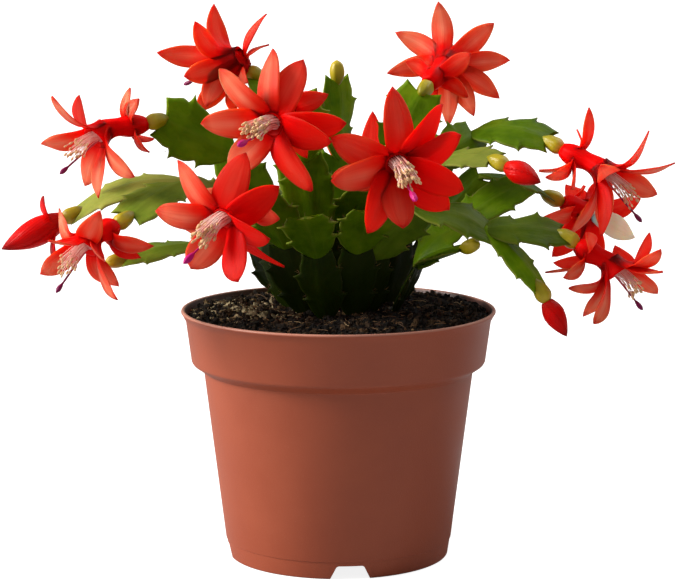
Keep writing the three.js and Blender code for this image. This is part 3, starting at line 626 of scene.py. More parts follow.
def soil_tree():
    sizes = {"Lumps": 60000.0, "Crumbs": 300000.0, "Chips": 24000.0, "Fibres": 14000.0, "Top": 0.08,
             "Reach": 0.0546, "Crumb Reach": 0.0562, "Fibre Reach": 0.05, "Seed": 1}
    finishes = dict.fromkeys(("Soil Finish", "Chip Finish", "Fibre Finish"), "Material")
    tree, given, result = geometry_tree("soil_crumbs", {**sizes, **finishes})
    where = add(tree, "GeometryNodeInputPosition")
    height = add(tree, "ShaderNodeSeparateXYZ", {"Vector": where}, "Z")
    normal = add(tree, "GeometryNodeInputNormal")
    level = add(tree, "ShaderNodeSeparateXYZ", {"Vector": normal}, "Z")
    high = reckon(tree, "GREATER_THAN", height, given["Top"])
    top = reckon(tree, "MULTIPLY", high, reckon(tree, "GREATER_THAN", level, 0.5))
    out = off_axis(tree, where)
    cloud = {"Vector": where, "Scale": ROUGHNESS_SCALE, "Detail": 1.0}
    rough = add(tree, "ShaderNodeTexNoise", cloud, "Color")

    def rough_lump(radius, fineness):
        """A pebble-like crumb: a small ball whose points a noise pushes in and out."""
        ball = add(tree, "GeometryNodeMeshIcoSphere", {"Radius": radius, "Subdivisions": fineness})
        push = add(tree, "ShaderNodeVectorMath", {0: rough, 1: (0.5, 0.5, 0.5)}, operation="SUBTRACT")
        moved = add(tree, "ShaderNodeVectorMath", {0: push, "Scale": radius * ROUGHNESS}, operation="SCALE")
        return add(tree, "GeometryNodeSetPosition", {"Geometry": ball, "Offset": moved})

    def scatter(shape, density, reach, sizes, seed, finish, turns=((0, 0, 0), FULL_TURN)):
        """Copies of a shape all over the soil's top, as far out as its reach."""
        over = {
            "Mesh": given["Geometry"],
            "Selection": reckon(tree, "MULTIPLY", top, reckon(tree, "LESS_THAN", out, given[reach])),
            "Density": given[density],
            "Seed": reckon(tree, "ADD", given["Seed"], float(seed)),
        }
        set_out = {
            "Points": add(tree, "GeometryNodeDistributePointsOnFaces", over),
            "Instance": shape,
            "Rotation": chance(tree, *turns, seed),
            "Scale": chance(tree, *sizes, seed + 10),
        }
        copies = add(tree, "GeometryNodeInstanceOnPoints", set_out)
        mark = {"Geometry": copies, "Name": "tone", "Value": chance(tree, 0.0, 1.0, seed + 20)}
        marked = add(tree, "GeometryNodeStoreNamedAttribute", mark, domain="INSTANCE")
        return dressed(tree, realized(tree, marked), given[finish])

    lump, crumb = rough_lump(LUMP_RADIUS, 2), rough_lump(CRUMB_RADIUS, 1)
    bend = {"Start": (-0.003, 0, 0.0006), "Middle": (0, 0.0007, 0.0013), "End": (0.003, 0, 0.0006)}
    line = add(tree, "GeometryNodeCurveQuadraticBezier", {"Resolution": 5, **bend})
    circle = add(tree, "GeometryNodeCurvePrimitiveCircle", {"Resolution": 4, "Radius": FIBRE_RADIUS})
    fibre = swept(tree, line, circle)
    lumps, crumbs = ((0.8, 0.8, 0.6), (2.5, 1.9, 1.5)), ((0.6, 0.6, 0.6), (1.8, 1.4, 1.2))
    chips, fibres = ((0.6, 0.4, 0.3), (2.3, 0.9, 0.6)), ((0.4, 0.4, 0.8), (1.2, 2.5, 1.4))
    parts = [
        dressed(tree, given["Geometry"], given["Soil Finish"]),
        scatter(lump, "Lumps", "Reach", lumps, 1, "Soil Finish"),
        scatter(crumb, "Crumbs", "Crumb Reach", crumbs, 2, "Soil Finish"),
        scatter(lump, "Chips", "Reach", chips, 4, "Chip Finish", LYING),
        scatter(fibre, "Fibres", "Fibre Reach", fibres, 3, "Fibre Finish", LYING),
    ]
    tree.links.new(add(tree, "GeometryNodeJoinGeometry", {"Geometry": parts}), result[0])
    return tree


strewn_soil = soil_tree()
print("nodes in the soil's tree:", len(strewn_soil.nodes))

# %% Soil finishes
DRY_PATCH = (-0.03, 0.0, 0.094)
DRY_TO_SHADE_SPAN = (0.012, 0.036)


def soil_finish(name, damp, *stops):
    """Soil of many grains: each has its own colour by its tone. Paler ones lie in one drier patch, and
    further out the grains are darker with painted shade of the plants.
    """
    material, tree, shader = new_finish(name, Roughness=0.95, Specular_IOR_Level=0.2)
    cloud = use_group(tree, blotches, Patch_Size=0.006, Grain_Size=0.0005)
    place = add(tree, "ShaderNodeTexCoord", out="Object")
    away = add(tree, "ShaderNodeVectorMath", {0: place, 1: DRY_PATCH}, "Value", operation="DISTANCE")
    # paler grains near the dry patch; further out every grain is shifted darker, as painted shade of the
    # plants
    grain = reckon(tree, "ADD", value_of(tree, "tone"), mapped(tree, away, *DRY_TO_SHADE_SPAN, 0.26, -0.14))
    colour = ramp(tree, grain, *stops)
    colour = lay_over(tree, colour, (cloud["Patches"], (0.35, 0.0), (0.65, damp), (10, 7, 5)))
    feed(tree, shader, Base_Color=colour)
    relief(tree, shader, cloud["Grain"], 0.0006)
    return material


def fibre_finish():
    material, tree, shader = new_finish("coir_fibre", Roughness=0.85)
    shades = (0.0, (60, 40, 24)), (0.6, (120, 88, 54)), (1.0, (190, 160, 116))
    feed(tree, shader, Base_Color=ramp(tree, value_of(tree, "tone"), *shades))
    return material


earths = (0.0, (16, 12, 8)), (0.5, (38, 28, 19)), (0.8, (86, 64, 42)), (0.93, (130, 104, 70))
barks = (0.0, (52, 34, 22)), (0.5, (96, 66, 44)), (0.8, (150, 118, 80)), (1.0, (206, 184, 146))
soil_finishes = {
    "Soil Finish": soil_finish("compost", 0.7, *earths, (0.985, (196, 176, 136))),
    "Chip Finish": soil_finish("bark_chips", 0.4, *barks),
    "Fibre Finish": fibre_finish(),
}
print("soil finishes:", [finish.name for finish in soil_finishes.values()])

# %% Make the soil
run_tree(soil, strewn_soil, soil_finishes)
stand_for(soil, "soil")

# %% [markdown]
# ## The pads' finish
# A pad is a fleshy green leaf-like stem with a waxy skin. Its margin is thin and pale, partly its own
# colour and partly painted light that comes through, a midrib runs up its middle, and faint veins fan out
# to the notches. Pads that face the light get a painted pale sheen. Pads near the soil are dark and a
# little corky, partly from ageing, and pads low in the plant's middle and on its right are darkened with
# painted shade. The margin and the midrib come from the place across the pad, the patches and the veins
# from a noise, and the painted sheen and the darkening from two values that each pad carries.

# %% Green pads
def pad_finish():
    material, tree, shader = new_finish(
        "waxy_green",
        Roughness=0.4,
        Specular_IOR_Level=0.05,
        Subsurface_Weight=0.12,
        Subsurface_Radius=(0.6, 1.0, 0.2),
        Subsurface_Scale=0.002,
    )
    cloud = use_group(tree, blotches, Patch_Size=0.012, Grain_Size=0.0004)
    line = use_group(tree, veins, Count=5.0, Stretch=3.0, Midrib_Width=0.13)
    edge = reckon(tree, "ABSOLUTE", value_of(tree, "across"))
    green = ramp(tree, cloud["Patches"], (0.3, (76, 112, 2)), (0.55, (106, 142, 4)), (0.75, (134, 160, 18)))
    green = lay_over(
        tree,
        green,
        (line["Veins"], (0.45, 0.0), (0.75, 0.35), (122, 150, 34)),
        (line["Midrib"], (0.3, 0.0), (1.0, 0.42), (116, 144, 34)),
        # pale margin: partly the pad's own colour, partly painted light through the thin edge
        (edge, (0.91, 0.0), (1.0, 0.8), (146, 156, 56)),
    )
    # painted sheen: pads with a pale value turn pale olive in patches, as if they reflect the light
    uneven = ramp(tree, cloud["Patches"], (0.3, 0.6), (0.6, 1.0))
    green = blend(tree, reckon(tree, "MULTIPLY", value_of(tree, "pale"), uneven), green, (158, 152, 76))
    # painted shade and ageing: a pad's tone darkens it towards a near-black green
    aged_and_shaded = ramp(tree, value_of(tree, "tone"), (0.0, 0.0), (0.4, 0.5), (1.0, 0.94))
    green = blend(tree, aged_and_shaded, green, (9, 13, 2))
    feed(tree, shader, Base_Color=green, Roughness=ramp(tree, cloud["Patches"], (0.3, 0.36), (0.7, 0.5)))
    relief(tree, shader, reckon(tree, "MULTIPLY_ADD", cloud["Grain"], 0.25, line["Veins"]), 0.00025)
    return material


waxy_green = pad_finish()
print("pad finish:", waxy_green.name)


# %% Ovaries, small green buds and corky feet
def ovary_finish():
    """Smooth flesh that is green at its foot and yellow where the flower starts."""
    material, tree, shader = new_finish("ovary_green", Roughness=0.35, Specular_IOR_Level=0.35)
    cloud = use_group(tree, blotches, Patch_Size=0.004, Grain_Size=0.0003)
    body = ramp(tree, cloud["Patches"], (0.35, (150, 134, 6)), (0.65, (186, 164, 20)))
    stops = (0.0, (92, 106, 5)), (0.5, (170, 152, 12)), (1.0, (214, 186, 50))
    tip = ramp(tree, value_of(tree, "along"), *stops)
    feed(tree, shader, Base_Color=blend(tree, 0.55, body, tip))
    relief(tree, shader, cloud["Grain"], 0.0001)
    return material


cork = (0.3, (22, 18, 10)), (0.7, (44, 38, 20))
corky_stem = mottled_finish("corky_stem", 0.003, 0.0006, *cork, 0.0006, Roughness=0.9)
stem_finishes = [waxy_green, ovary_finish(), corky_stem]
print("stem finishes:", [finish.name for finish in stem_finishes])

# %% [markdown]
# ## One pad
# A pad could be an extruded outline, but then it would be a flat biscuit. Here each ring runs across
# the pad from margin to margin over the front and back again. The rings lean forward from the midrib to
# the margin, as the real veins do. The outline goes out to each tooth and sharply into the notch beyond
# it, and the blade swells at the midrib and thins at the margin.

# %% Outline of a pad
PAD_STRETCHES = [
    [(0, 0.13), (0.07, 0.36), (0.2, 0.66), (0.32, 0.8), (0.36, 0.86), (0.395, 0.99)],
    [(0.395, 0.99), (0.405, 0.82), (0.435, 0.74)],
    [(0.435, 0.74), (0.54, 0.88), (0.67, 0.95), (0.72, 0.99), (0.765, 1.13)],
    [(0.765, 1.13), (0.775, 0.92), (0.8, 0.81)],
    [(0.8, 0.81), (0.88, 0.83), (0.98, 0.72), (1.08, 0.66)],
    [(1.08, 0.66), (1.015, 0.48), (0.985, 0.3), (0.99, 0.06)],
]
STRETCH_STEPS = [7, 3, 7, 3, 6, 5]


def pad_outline():
    """Share of the length and of the half width, from the root of the pad round to its cut tip."""
    places = []
    for stretch, steps in zip(PAD_STRETCHES, STRETCH_STEPS):
        knots = np.linspace(0, 1, len(stretch))
        at = np.linspace(0, 1, steps, endpoint=False)
        columns = [smooth(list(zip(knots, column)), at) for column in zip(*stretch)]
        places.append(np.stack(columns, axis=1))
    places.append(np.array([PAD_STRETCHES[-1][-1]]))
    return np.concatenate(places)


OUTLINE = pad_outline()
print("points on one side of a pad's outline:", len(OUTLINE))

# %% Build a pad
PAD_THICKNESS = 3.2
MARGIN_THICKNESS = 0.3
BLADE_THICKNESS = 0.85
RIB_WIDTH = 1.9
SLIMMING = [(0, 0.75), (0.3, 1), (0.8, 0.9), (1, 0.45)]
VEIN_SLANT = 0.1
ACROSS_STEPS = 6
NOTCHES = [(0.42, 0.78), (0.79, 0.84), (0.99, 0.0)]
UNEVEN_WIDTH = 0.09
UNEVEN_WAVES = 9
LAST_ROW = 0.985
PAD_DISHES = (-0.7, 0.9)
PAD_WAVES = (0.2, 0.6)


def pad(start, tip, width, turn, tilt, bow, age_and_shade, pale, draw):
    """The patch of one pad, and the places and directions of the bristles in its notches."""
    length = np.linalg.norm(tip - start)
    along = unit(tip - start)
    turn, tilt = math.radians(turn), math.radians(tilt)
    face = np.array((math.sin(turn) * math.cos(tilt), -math.cos(turn) * math.cos(tilt), math.sin(tilt)))
    side = unit(np.cross(along, face))
    front = np.cross(side, along)
    lanes = np.linspace(-1, 1, 2 * ACROSS_STEPS + 1)
    across = np.concatenate([lanes, lanes[::-1]])[None, :]
    layer = np.repeat((1.0, -1.0), len(lanes))[None, :]
    edge_share, edge_width = OUTLINE[:, :1], OUTLINE[:, 1:]
    lead = np.minimum(edge_share, LAST_ROW)
    near = lead * (1 - VEIN_SLANT * np.sin(np.pi * lead))
    swell_left, swell_right, roll_left, roll_right = draw.uniform(0, (UNEVEN_WIDTH, UNEVEN_WIDTH, 6, 6))
    size = 1 + np.where(
        across < 0,
        swell_left * np.sin(edge_share * UNEVEN_WAVES + roll_left),
        swell_right * np.sin(edge_share * UNEVEN_WAVES + roll_right),
    )
    reach = np.abs(across)
    share = near + (edge_share - near) * reach**1.5
    place = across * edge_width * size * width / 2
    swell = MARGIN_THICKNESS + (BLADE_THICKNESS - MARGIN_THICKNESS) * (1 - reach**4)
    rib = (PAD_THICKNESS / 2 - BLADE_THICKNESS) * np.exp(-((place / RIB_WIDTH) ** 2))
    slim = smooth(SLIMMING, np.minimum(share, 1))
    arch = 4 * bow * share * (1 - share)
    dish = draw.uniform(*PAD_DISHES) * (place / 10) ** 2 * np.sin(np.pi * np.minimum(share, 1))
    wave = draw.uniform(*PAD_WAVES) * reach**2 * np.sin(across * 1.3 + share * 9 + draw.uniform(0, 6))
    depth = arch + dish + wave * np.sin(np.pi * np.clip(share, 0, 1)) + layer * (swell + rib) * slim
    rings = start + along * (share * length)[..., None] + side * place[..., None] + front * depth[..., None]
    bristles = []
    for at, aside in NOTCHES:
        for hand in (-1, 1) if aside else (1,):
            root = start + along * at * length + side * hand * aside * width / 2
            root = root + front * 4 * bow * at * (1 - at)
            bristles.append((root, unit(along + side * hand * 1.2 * aside)))
    across = across * np.ones_like(share)
    return patch(rings, 0, along=np.clip(share, 0, 1), across=across, tone=age_and_shade, pale=pale), bristles


trial, notches = pad(0 * UP, 30 * UP, 20, 0, 0, 0, 0, 0, np.random.default_rng(0))
print("points in a pad:", len(trial["points"]), "bristle places:", len(notches))

# %% [markdown]
# ## Round parts
# Ovaries, small buds, tubes, styles and stubs are round, so their rings are circles along a line. A lift
# changes the radius of every point by an amount that depends on its angle, which gives an ovary its soft
# ribs and a bud the steps where its petals overlap. Each flower and each bud has a small hollow in its
# foot, so that it sits on its ovary without cutting into it.

# %% Rings round a line
def round_rings(places, directions, radii, sides, lift=None):
    """Circles of points round each place. lift gives each point's share of the radius by its angle."""
    angle = np.linspace(0, 2 * np.pi, sides, endpoint=False)[None, :]
    guide = np.where(np.abs(directions[:, 2:]) > 0.97, (1.0, 0.0, 0.0), UP)
    right = unit(np.cross(guide, directions))
    over = np.cross(directions, right)
    size = np.asarray(radii)[:, None] * (1 if lift is None else lift(angle))
    size = size * np.ones((len(places), sides))
    circle = right[:, None, :] * np.cos(angle)[..., None] + over[:, None, :] * np.sin(angle)[..., None]
    return places[:, None, :] + size[..., None] * circle


def straight_rings(root, axis, distances, radii, sides, lift=None):
    """Circles at distances along a straight axis."""
    places = root + axis * np.asarray(distances, float)[:, None]
    return round_rings(places, np.repeat(axis[None, :], len(places), axis=0), radii, sides, lift)


def turned(root, axis, profile, sides, finish, steps=14, lift=None, **values):
    """A round body along a straight axis, from a profile of distance and radius."""
    first, last = profile[0][0], profile[-1][0]
    distance = np.linspace(first, last, steps)
    radii = np.maximum(smooth(profile, distance), 0.05)
    share = ((distance - first) / (last - first))[:, None]
    return patch(straight_rings(root, axis, distance, radii, sides, lift), finish, along=share, **values)


trial = turned(0 * UP, UP, [(0, 1), (10, 1)], 24, 0)
print("points in a plain rod:", len(trial["points"]))

# %% Ribs, steps and hollow feet
SOCKET_DEPTHS = [1.3, 1.0]
SOCKET_SHARES = [0.1, 0.68]


def steps_round(count, height, twist=0.0):
    """Overlapping petals or scales round a body: the radius rises slowly and drops at each edge."""
    return lambda angle: 1 + height * (np.mod(angle * count / (2 * np.pi) + twist, 1.0) - 0.5)


def soft_ribs(count, height):
    return lambda angle: 1 + height * np.cos(count * angle)


def socket(place, aim, radius, sides):
    """Rings of the hollow foot that a flower or bud sits on its ovary with."""
    return straight_rings(place, aim, SOCKET_DEPTHS, [share * radius for share in SOCKET_SHARES], sides)


print("share of the radius on a rib:", soft_ribs(5, 0.05)(0.0))

# %% [markdown]
# ## The stems
# A stem is the chain of its pads with the corky stub in the soil, and at each end an ovary under a
# flower or a small pale bud. The list gives for each pad where it ends, how wide it is, the turn and tilt
# of the way that its flat side faces, and how far it bows. Turn 0 faces the front and 90 the right. A
# branch starts in the soil or from a pad, which it names by its number in the stem. Where it says pale,
# its pads have more of the painted sheen, and one more value makes them less dark, where the darkening is
# partly ageing and partly painted shade. All sizes are in millimetres and degrees, as on the imported solids.

# %% Where the pads go
STEMS = {
    "stem_left": [
        {"soil": (-17, 1), "end": "ovary", "pads": [
            (-25, 4, 121, 19, -50, 10, 1), (-41, 7, 154, 22, -15, 5, 1), (-66, 0, 167.5, 24, -5, 20, 0)]},
        {"from": 0, "end": "ovary", "pale": 0.75, "pads": [
            (-58, -4, 143.5, 21, -30, 60, 2), (-98, 0, 132.5, 19, -10, 68, 4)]},
        {"from": 3, "end": "ovary", "pale": 0.35, "pads": [(-77, -26, 134, 21, -20, 45, 1)]},
        {"from": 0, "end": "bud", "pale": 0.3, "pads": [
            (-53, -19, 121.5, 20, -40, 70, 2), (-79, -24, 117.5, 17, 0, 75, 1)]},
    ],
    "stem_front_left": [
        {"soil": (-11, -10), "end": "ovary", "pads": [
            (-20, -14, 121, 19, -15, 0, 0), (-28, -33, 142.5, 22, -20, -20, 0)]},
    ],
    "stem_front": [
        {"soil": (-4, -19), "pads": [(-8, -28, 119, 17, 0, 0, 0), (-12, -48, 136, 20, 0, -30, -2)]},
    ],
    "stem_front_right": [
        {"soil": (6, -15), "pads": [(7, -24, 120, 17, 10, 0, 0), (12, -40, 137, 21, 10, -30, -2)]},
    ],
    "stem_up_left": [
        {"soil": (-5, -3), "end": "ovary", "pads": [
            (-8, -5, 124, 18, 0, 0, 0), (-13, -14, 154, 21, -10, 0, 0), (-15, -31, 180, 22, -10, 20, 0)]},
    ],
    "stem_back_left": [
        {"soil": (-8, 13), "end": "ovary", "pads": [
            (-13, 20, 124, 19, 0, 0, 0), (-14, 28, 155, 22, 10, 0, 0), (-29.5, 37, 180, 22, 40, 20, 0)]},
    ],
    "stem_centre": [
        {"soil": (3, 5), "end": "bud", "pads": [
            (1, 8, 123, 19, 20, 0, 0), (0, 13, 152, 22, 30, 0, 0), (-0.5, 14, 181, 21, 52, 0, 0)]},
        {"from": 0, "end": "ovary", "pads": [
            (10, -12, 142, 19, 20, -20, 0), (17, -30, 158, 21, 10, 60, 1)]},
    ],
    "stem_back_right": [
        {"soil": (11, 12), "end": "ovary", "pads": [
            (16, 15, 124, 19, 10, 0, 0), (20, 11, 152, 22, 0, 5, 0), (32, 14, 176.5, 22, -10, 10, 0)]},
    ],
    "stem_right_high": [
        {"soil": (17, 2), "end": "ovary", "pads": [
            (23, 3, 121, 18, 30, 0, 0), (37, 2, 151, 22, 15, 0, 0), (52, 16, 160, 19, 10, 30, 1),
            (79, 4, 159, 21, 10, 58, 3)]},
        {"from": 1, "end": "ovary", "pale": 0.6, "pads": [(57, -18, 154, 18, 0, 62, 1)]},
    ],
    "stem_right_mid": [
        {"soil": (22, 11), "end": "ovary", "pads": [
            (32, 14, 117, 16, 60, 10, 0), (55, 12.5, 144, 18, 25, 45, 1), (80, 18, 136.5, 19, 20, 85, 2)]},
    ],
    "stem_right_bud": [
        {"soil": (21, -6), "end": "bud", "pads": [
            (30, -9, 113, 13, 75, 0, 0), (46.5, -24, 121.5, 18, 20, 74, 1)]},
        {"from": 0, "pads": [(43.5, -8, 127, 17, 20, 68, 1), (69, -6, 143, 20, 15, 60, 1)]},
    ],
    "stem_right_low": [
        {"soil": (11, -9), "end": "ovary", "pale": 0.12, "pads": [
            (13, -19, 118, 16, 15, 0, 0), (28, -31, 137, 20, 20, 0, 0), (54.5, -30, 129, 20.5, 5, 63, 2),
            (82.5, -24, 127, 19, 5, 58, 1)]},
        {"from": 2, "end": "ovary", "less_dark": 0.4, "pads": [(73, -33, 109.5, 15, 50, 35, 1)]},
    ],
    "stem_back": [
        {"soil": (2, 20), "end": "ovary", "pads": [
            (3, 32, 119, 18, 180, 10, 0), (10, 44, 145, 22, 180, 20, 1)]},
        {"from": 0, "end": "bud", "pads": [(-12, 54, 134, 21, 190, 40, 1), (-20, 73, 128, 21, 190, 70, 2)]},
    ],
    "stem_back_low_left": [
        {"soil": (-16, 12), "end": "bud", "pads": [
            (-30, 24, 112, 18, 230, 20, 1), (-48, 44, 126, 22, 220, 50, 2),
            (-58, 66, 120, 20, 215, 70, 2)]},
    ],
    "stem_back_low_right": [
        {"soil": (15, 21), "end": "ovary", "pads": [
            (26, 34, 114, 18, 140, 20, 1), (44, 50, 132, 22, 145, 45, 2), (60, 62, 124, 20, 150, 70, 2)]},
    ],
}
print("pads:", sum(len(branch["pads"]) for stem in STEMS.values() for branch in stem))

# %% Where the flowers and buds go
# A flower's glow is painted light: it makes the petals more coral, as light that falls on them and shines
# through them would.
BLOOMS = {
    "bloom_left_high": {
        "on": ("stem_left", 0), "mouth": (-90, -12, 162), "stigma": (-103, -22, 149), "glow": 0.15,
        "upper": [(0, 78, 25), (297, 120, 23), (280, 64, 25), (217, 65, 24), (150, 43, 24), (118, 75, 26)],
        "lower": [(350, 106, 15), (30, 105, 13), (137, 100, 13), (210, 140, 13)],
    },
    "bloom_left_low": {
        "on": ("stem_left", 2), "mouth": (-92, -40, 125), "stigma": (-102, -50, 109),
        "upper": [(300, 118, 19), (47, 116, 19), (15, 61, 22), (259, 58, 24), (121, 57, 26), (184, 86, 24),
                  (88, 73, 14)],
        "lower": [(195, 122, 15), (118, 112, 19), (148, 108, 16)],
    },
    "bloom_back_left": {
        "on": ("stem_back_left", 0), "mouth": (-42, 35, 187), "stigma": (-61, 45, 177),
        "glow": 0.35, "facing": 0.85,
        "upper": [(347, 89, 25), (41, 91, 23), (45, 42, 29), (91, 55, 21), (135, 64, 22), (169, 30, 25),
                  (200, 60, 22), (278, 80, 24)],
        "lower": [(7, 86, 23), (13, 111, 14), (118, 115, 10), (250, 95, 12)],
    },
    "bloom_up_left": {
        "on": ("stem_up_left", 0), "mouth": (-23, -58, 171), "stigma": (-35, -78, 165),
        "full": True, "glow": 0.12,
        "upper": [(322, 81, 27), (350, 118, 27, 0, -0.6), (20, 125, 25), (92, 104, 27), (100, 83, 26),
                  (145, 79, 28), (224, 63, 24), (276, 66, 26)],
        "lower": [(78, 110, 16), (158, 80, 20)],
    },
    "bloom_front_left": {
        "on": ("stem_front_left", 0), "mouth": (-40, -62, 138), "stigma": (-54, -80, 124),
        "full": True, "glow": -0.08,
        "upper": [(317, 103, 27), (24, 122, 25), (70, 118, 24), (97, 76, 24), (150, 98, 28, 0, 0.55),
                  (131, 44, 27, 0, -0.8), (225, 67, 26), (282, 76, 27), (252, 90, 24)],
        "lower": [(99, 68, 18), (289, 75, 18)],
    },
    "bloom_centre": {
        "on": ("stem_centre", 1), "mouth": (20.5, -58, 157), "stigma": (27, -80, 146),
        "full": True, "glow": -0.33,
        "upper": [(358, 120, 27), (45, 112, 27), (75, 105, 27), (98, 56, 26), (129, 76, 27), (185, 36, 25),
                  (215, 53, 28), (263, 77, 26), (245, 108, 24), (285, 110, 25)],
        "lower": [(20, 105, 14), (150, 100, 14)],
    },
    "bloom_back_right": {
        "on": ("stem_back_right", 0), "mouth": (42.5, 40, 186), "stigma": (50, 60, 190), "glow": 0.85,
        "upper": [(20, 55, 27), (310, 45, 26), (262, 50, 27), (225, 64, 27), (203, 85, 24), (178, 90, 26),
                  (66, 76, 26), (98, 106, 24)],
        "lower": [(300, 70, 17), (69, 75, 14), (235, 84, 15), (157, 100, 13)],
    },
    "bloom_right_high": {
        "on": ("stem_right_high", 0), "mouth": (100.5, -8, 147), "stigma": (113.5, -14, 130),
        "upper": [(16, 99, 23), (20, 63, 26), (71, 49, 24), (204, 69, 27), (234, 45, 26), (148, 60, 24),
                  (290, 95, 20)],
        "lower": [(8, 105, 19.5), (20, 122, 11), (205, 130, 15), (240, 99, 17), (239, 62, 17)],
    },
    "bloom_right_low": {
        "on": ("stem_right_low", 0), "mouth": (102.5, -30, 114), "stigma": (112, -34, 100),
        "upper": [(45, 105, 21), (343, 82, 22), (337, 61, 21), (70, 42, 20), (216, 57, 22), (178, 72, 22),
                  (190, 104, 19), (90, 120, 18)],
        "lower": [(160, 128, 16), (200, 122, 18), (312, 112, 12), (221, 99, 15)],
    },
    "bloom_right_mid": {
        "on": ("stem_right_mid", 0), "mouth": (97, 20, 129), "stigma": (103, 38, 118),
        "upper": [(245, 88, 21, 1), (295, 80, 21), (345, 75, 20), (40, 72, 20), (95, 60, 22), (145, 85, 22),
                  (195, 72, 20)],
        "lower": [(235, 128, 20), (38, 75, 12)],
    },
    "bloom_back": {
        "on": ("stem_back", 0), "mouth": (13, 62, 143), "stigma": (14, 77, 130),
        "upper": [(0, 98, 25), (52, 84, 25), (104, 92, 24), (155, 68, 24), (205, 76, 23), (256, 66, 24),
                  (308, 88, 24)],
        "lower": [(30, 98, 14), (230, 96, 14)],
    },
}
BUDS = {
    "bud_left": {"on": ("stem_left", 1), "tip": (-127, -8, 119), "radius": 5.8,
                 "lower": [(20, 98, 13), (150, 70, 14)]},
    "bud_right_high": {"on": ("stem_right_high", 1), "tip": (74, -32, 147), "radius": 4.5},
    "bud_right_low": {"on": ("stem_right_low", 1), "tip": (84, -36, 90.5), "radius": 4.2},
    "bud_back": {"on": ("stem_back_low_right", 0), "tip": (72, 76, 108), "radius": 4.8},
}
print("flowers:", len(BLOOMS), "red buds:", len(BUDS))

# %% How dark a pad is
# The darkening is mostly painted shade: low in the middle of the plant and on its right, away from the key
# light.
CORE_TOP_Z = 150
CORE_MIDDLE_X = -10
CORE_SHADE = 0.4
SHADE_DARK = 0.34
FOOT_DARK = 0.7
FOOT_FADE = 0.5


def darkness(x, z, rank, rooted):
    """Painted shade low in the plant's middle and on the side away from the light, and dark pads at the foot
    of a rooted stem, partly from ageing and partly painted shade.
    """
    core = np.clip((CORE_TOP_Z - z) / 50, 0, 1) * np.clip((80 - abs(x - CORE_MIDDLE_X)) / 40, 0, 1)
    shade = np.clip(x / 80, 0, 1)
    return core * CORE_SHADE + shade * SHADE_DARK + rooted * max(0, FOOT_DARK - FOOT_FADE * rank)


print("dark of a first pad in the middle:", darkness(CORE_MIDDLE_X, 100, 0, True))


# %% Where the branches end
def way_to(on, target):
    """The tip of the branch that carries a flower, and the direction from it to the flower."""
    stem, branch = on
    tip = np.array(STEMS[stem][branch]["pads"][-1][:3], float)
    return tip, unit(np.array(target, float) - tip)


carried = {bloom["on"]: bloom["mouth"] for bloom in BLOOMS.values()}
carried.update({bud["on"]: bud["tip"] for bud in BUDS.values()})
print("branches that carry a flower or a bud:", len(carried))

# %% Build the stems
PAD_ROOT = 1.5
STUB_TOP_Z = 94.5
STUB_PROFILE = [(-15.5, 2.6), (-4, 2.6), (2, 2.6 * 0.7)]
OVARY_LENGTH = 7
GAP = 0.3
OVARY_PROFILE = [(-2, 0.8), (0, 2.2), (2.6, 2.9), (5.2, 3.0), (6.9, 2.1), (7.5, 1.5), (7.9, 0.5)]
GREEN_BUD_PROFILE = [(-2, 0.8), (0, 2.1), (2.6, 2.8), (5.2, 2.5), (6.9, 1.6), (7.7, 0.3)]
ROUND_SIDES = 24
all_bristles = []


def stem_piece(name, seed):
    draw = np.random.default_rng(seed)
    patches, tips = [], []
    for number, branch in enumerate(STEMS[name]):
        if "soil" in branch:
            start = np.array((*branch["soil"], STUB_TOP_Z), float)
            patches.append(turned(start, UP, STUB_PROFILE, 14, 2, lift=soft_ribs(5, 0.06)))
        else:
            start = tips[branch["from"]]
        for rank, (x, y, z, width, turn, tilt, bow) in enumerate(branch["pads"]):
            tip = np.array((x, y, z), float)
            along = unit(tip - start)
            # each pad's darkening: a random share, painted shade, and the ageing of pads at a stem's foot
            dark = draw.uniform(0, 0.12) + darkness(x, z, rank, "soil" in branch)
            age_and_shade = max(0, dark - branch.get("less_dark", 0))
            root = start - along * PAD_ROOT
            body, bristles = pad(root, tip, width, turn, tilt, bow, age_and_shade, branch.get("pale", 0), draw)
            patches.append(body)
            all_bristles.extend(bristles)
            tips.append(tip)
            start = tip
        if branch.get("end") == "ovary":
            _, aim = way_to((name, number), carried[(name, number)])
            ovary = turned(start, aim, OVARY_PROFILE, ROUND_SIDES, 1, steps=22, lift=soft_ribs(5, 0.05))
            patches.append(ovary)
        if branch.get("end") == "bud":
            patches.append(turned(start, along, GREEN_BUD_PROFILE, ROUND_SIDES, 1, lift=steps_round(4, 0.16)))
    return make_piece(name + "_pads", patches, stem_finishes)


for number, name in enumerate(STEMS):
    stand_for(stem_piece(name, 100 + number), name)

# %% [markdown]
# ## Bristles in the notches
# Each notch of a pad holds an areole, a small cushion with a few fine bristles. They repeat in their
# dozens, so a Geometry Nodes tree puts a slim cone on each marked point and turns it along the point's
# own direction. The tree ends in Realize Instances, because the object is exported as plain meshes.

# %% Bristle tree
def bristle_tree():
    sizes = {"Radius": 0.0001, "Length": 0.002, "Seed": 3, "Finish": "Material"}
    tree, given, result = geometry_tree("bristles", sizes)
    slim = {"Vertices": 4, "Radius Top": 0.00002, "Radius Bottom": given["Radius"], "Depth": given["Length"]}
    aim = add(tree, "GeometryNodeInputNamedAttribute", {"Name": "aim"}, data_type="FLOAT_VECTOR")
    set_out = {
        "Points": given["Geometry"],
        "Instance": add(tree, "GeometryNodeMeshCone", slim, "Mesh"),
        "Rotation": aligned(tree, aim),
        "Scale": chance(tree, 0.5, 1.1, given["Seed"]),
    }
    made = realized(tree, add(tree, "GeometryNodeInstanceOnPoints", set_out))
    tree.links.new(dressed(tree, made, given["Finish"]), result[0])
    return tree


strewn_bristles = bristle_tree()
print("nodes in the bristles' tree:", len(strewn_bristles.nodes))

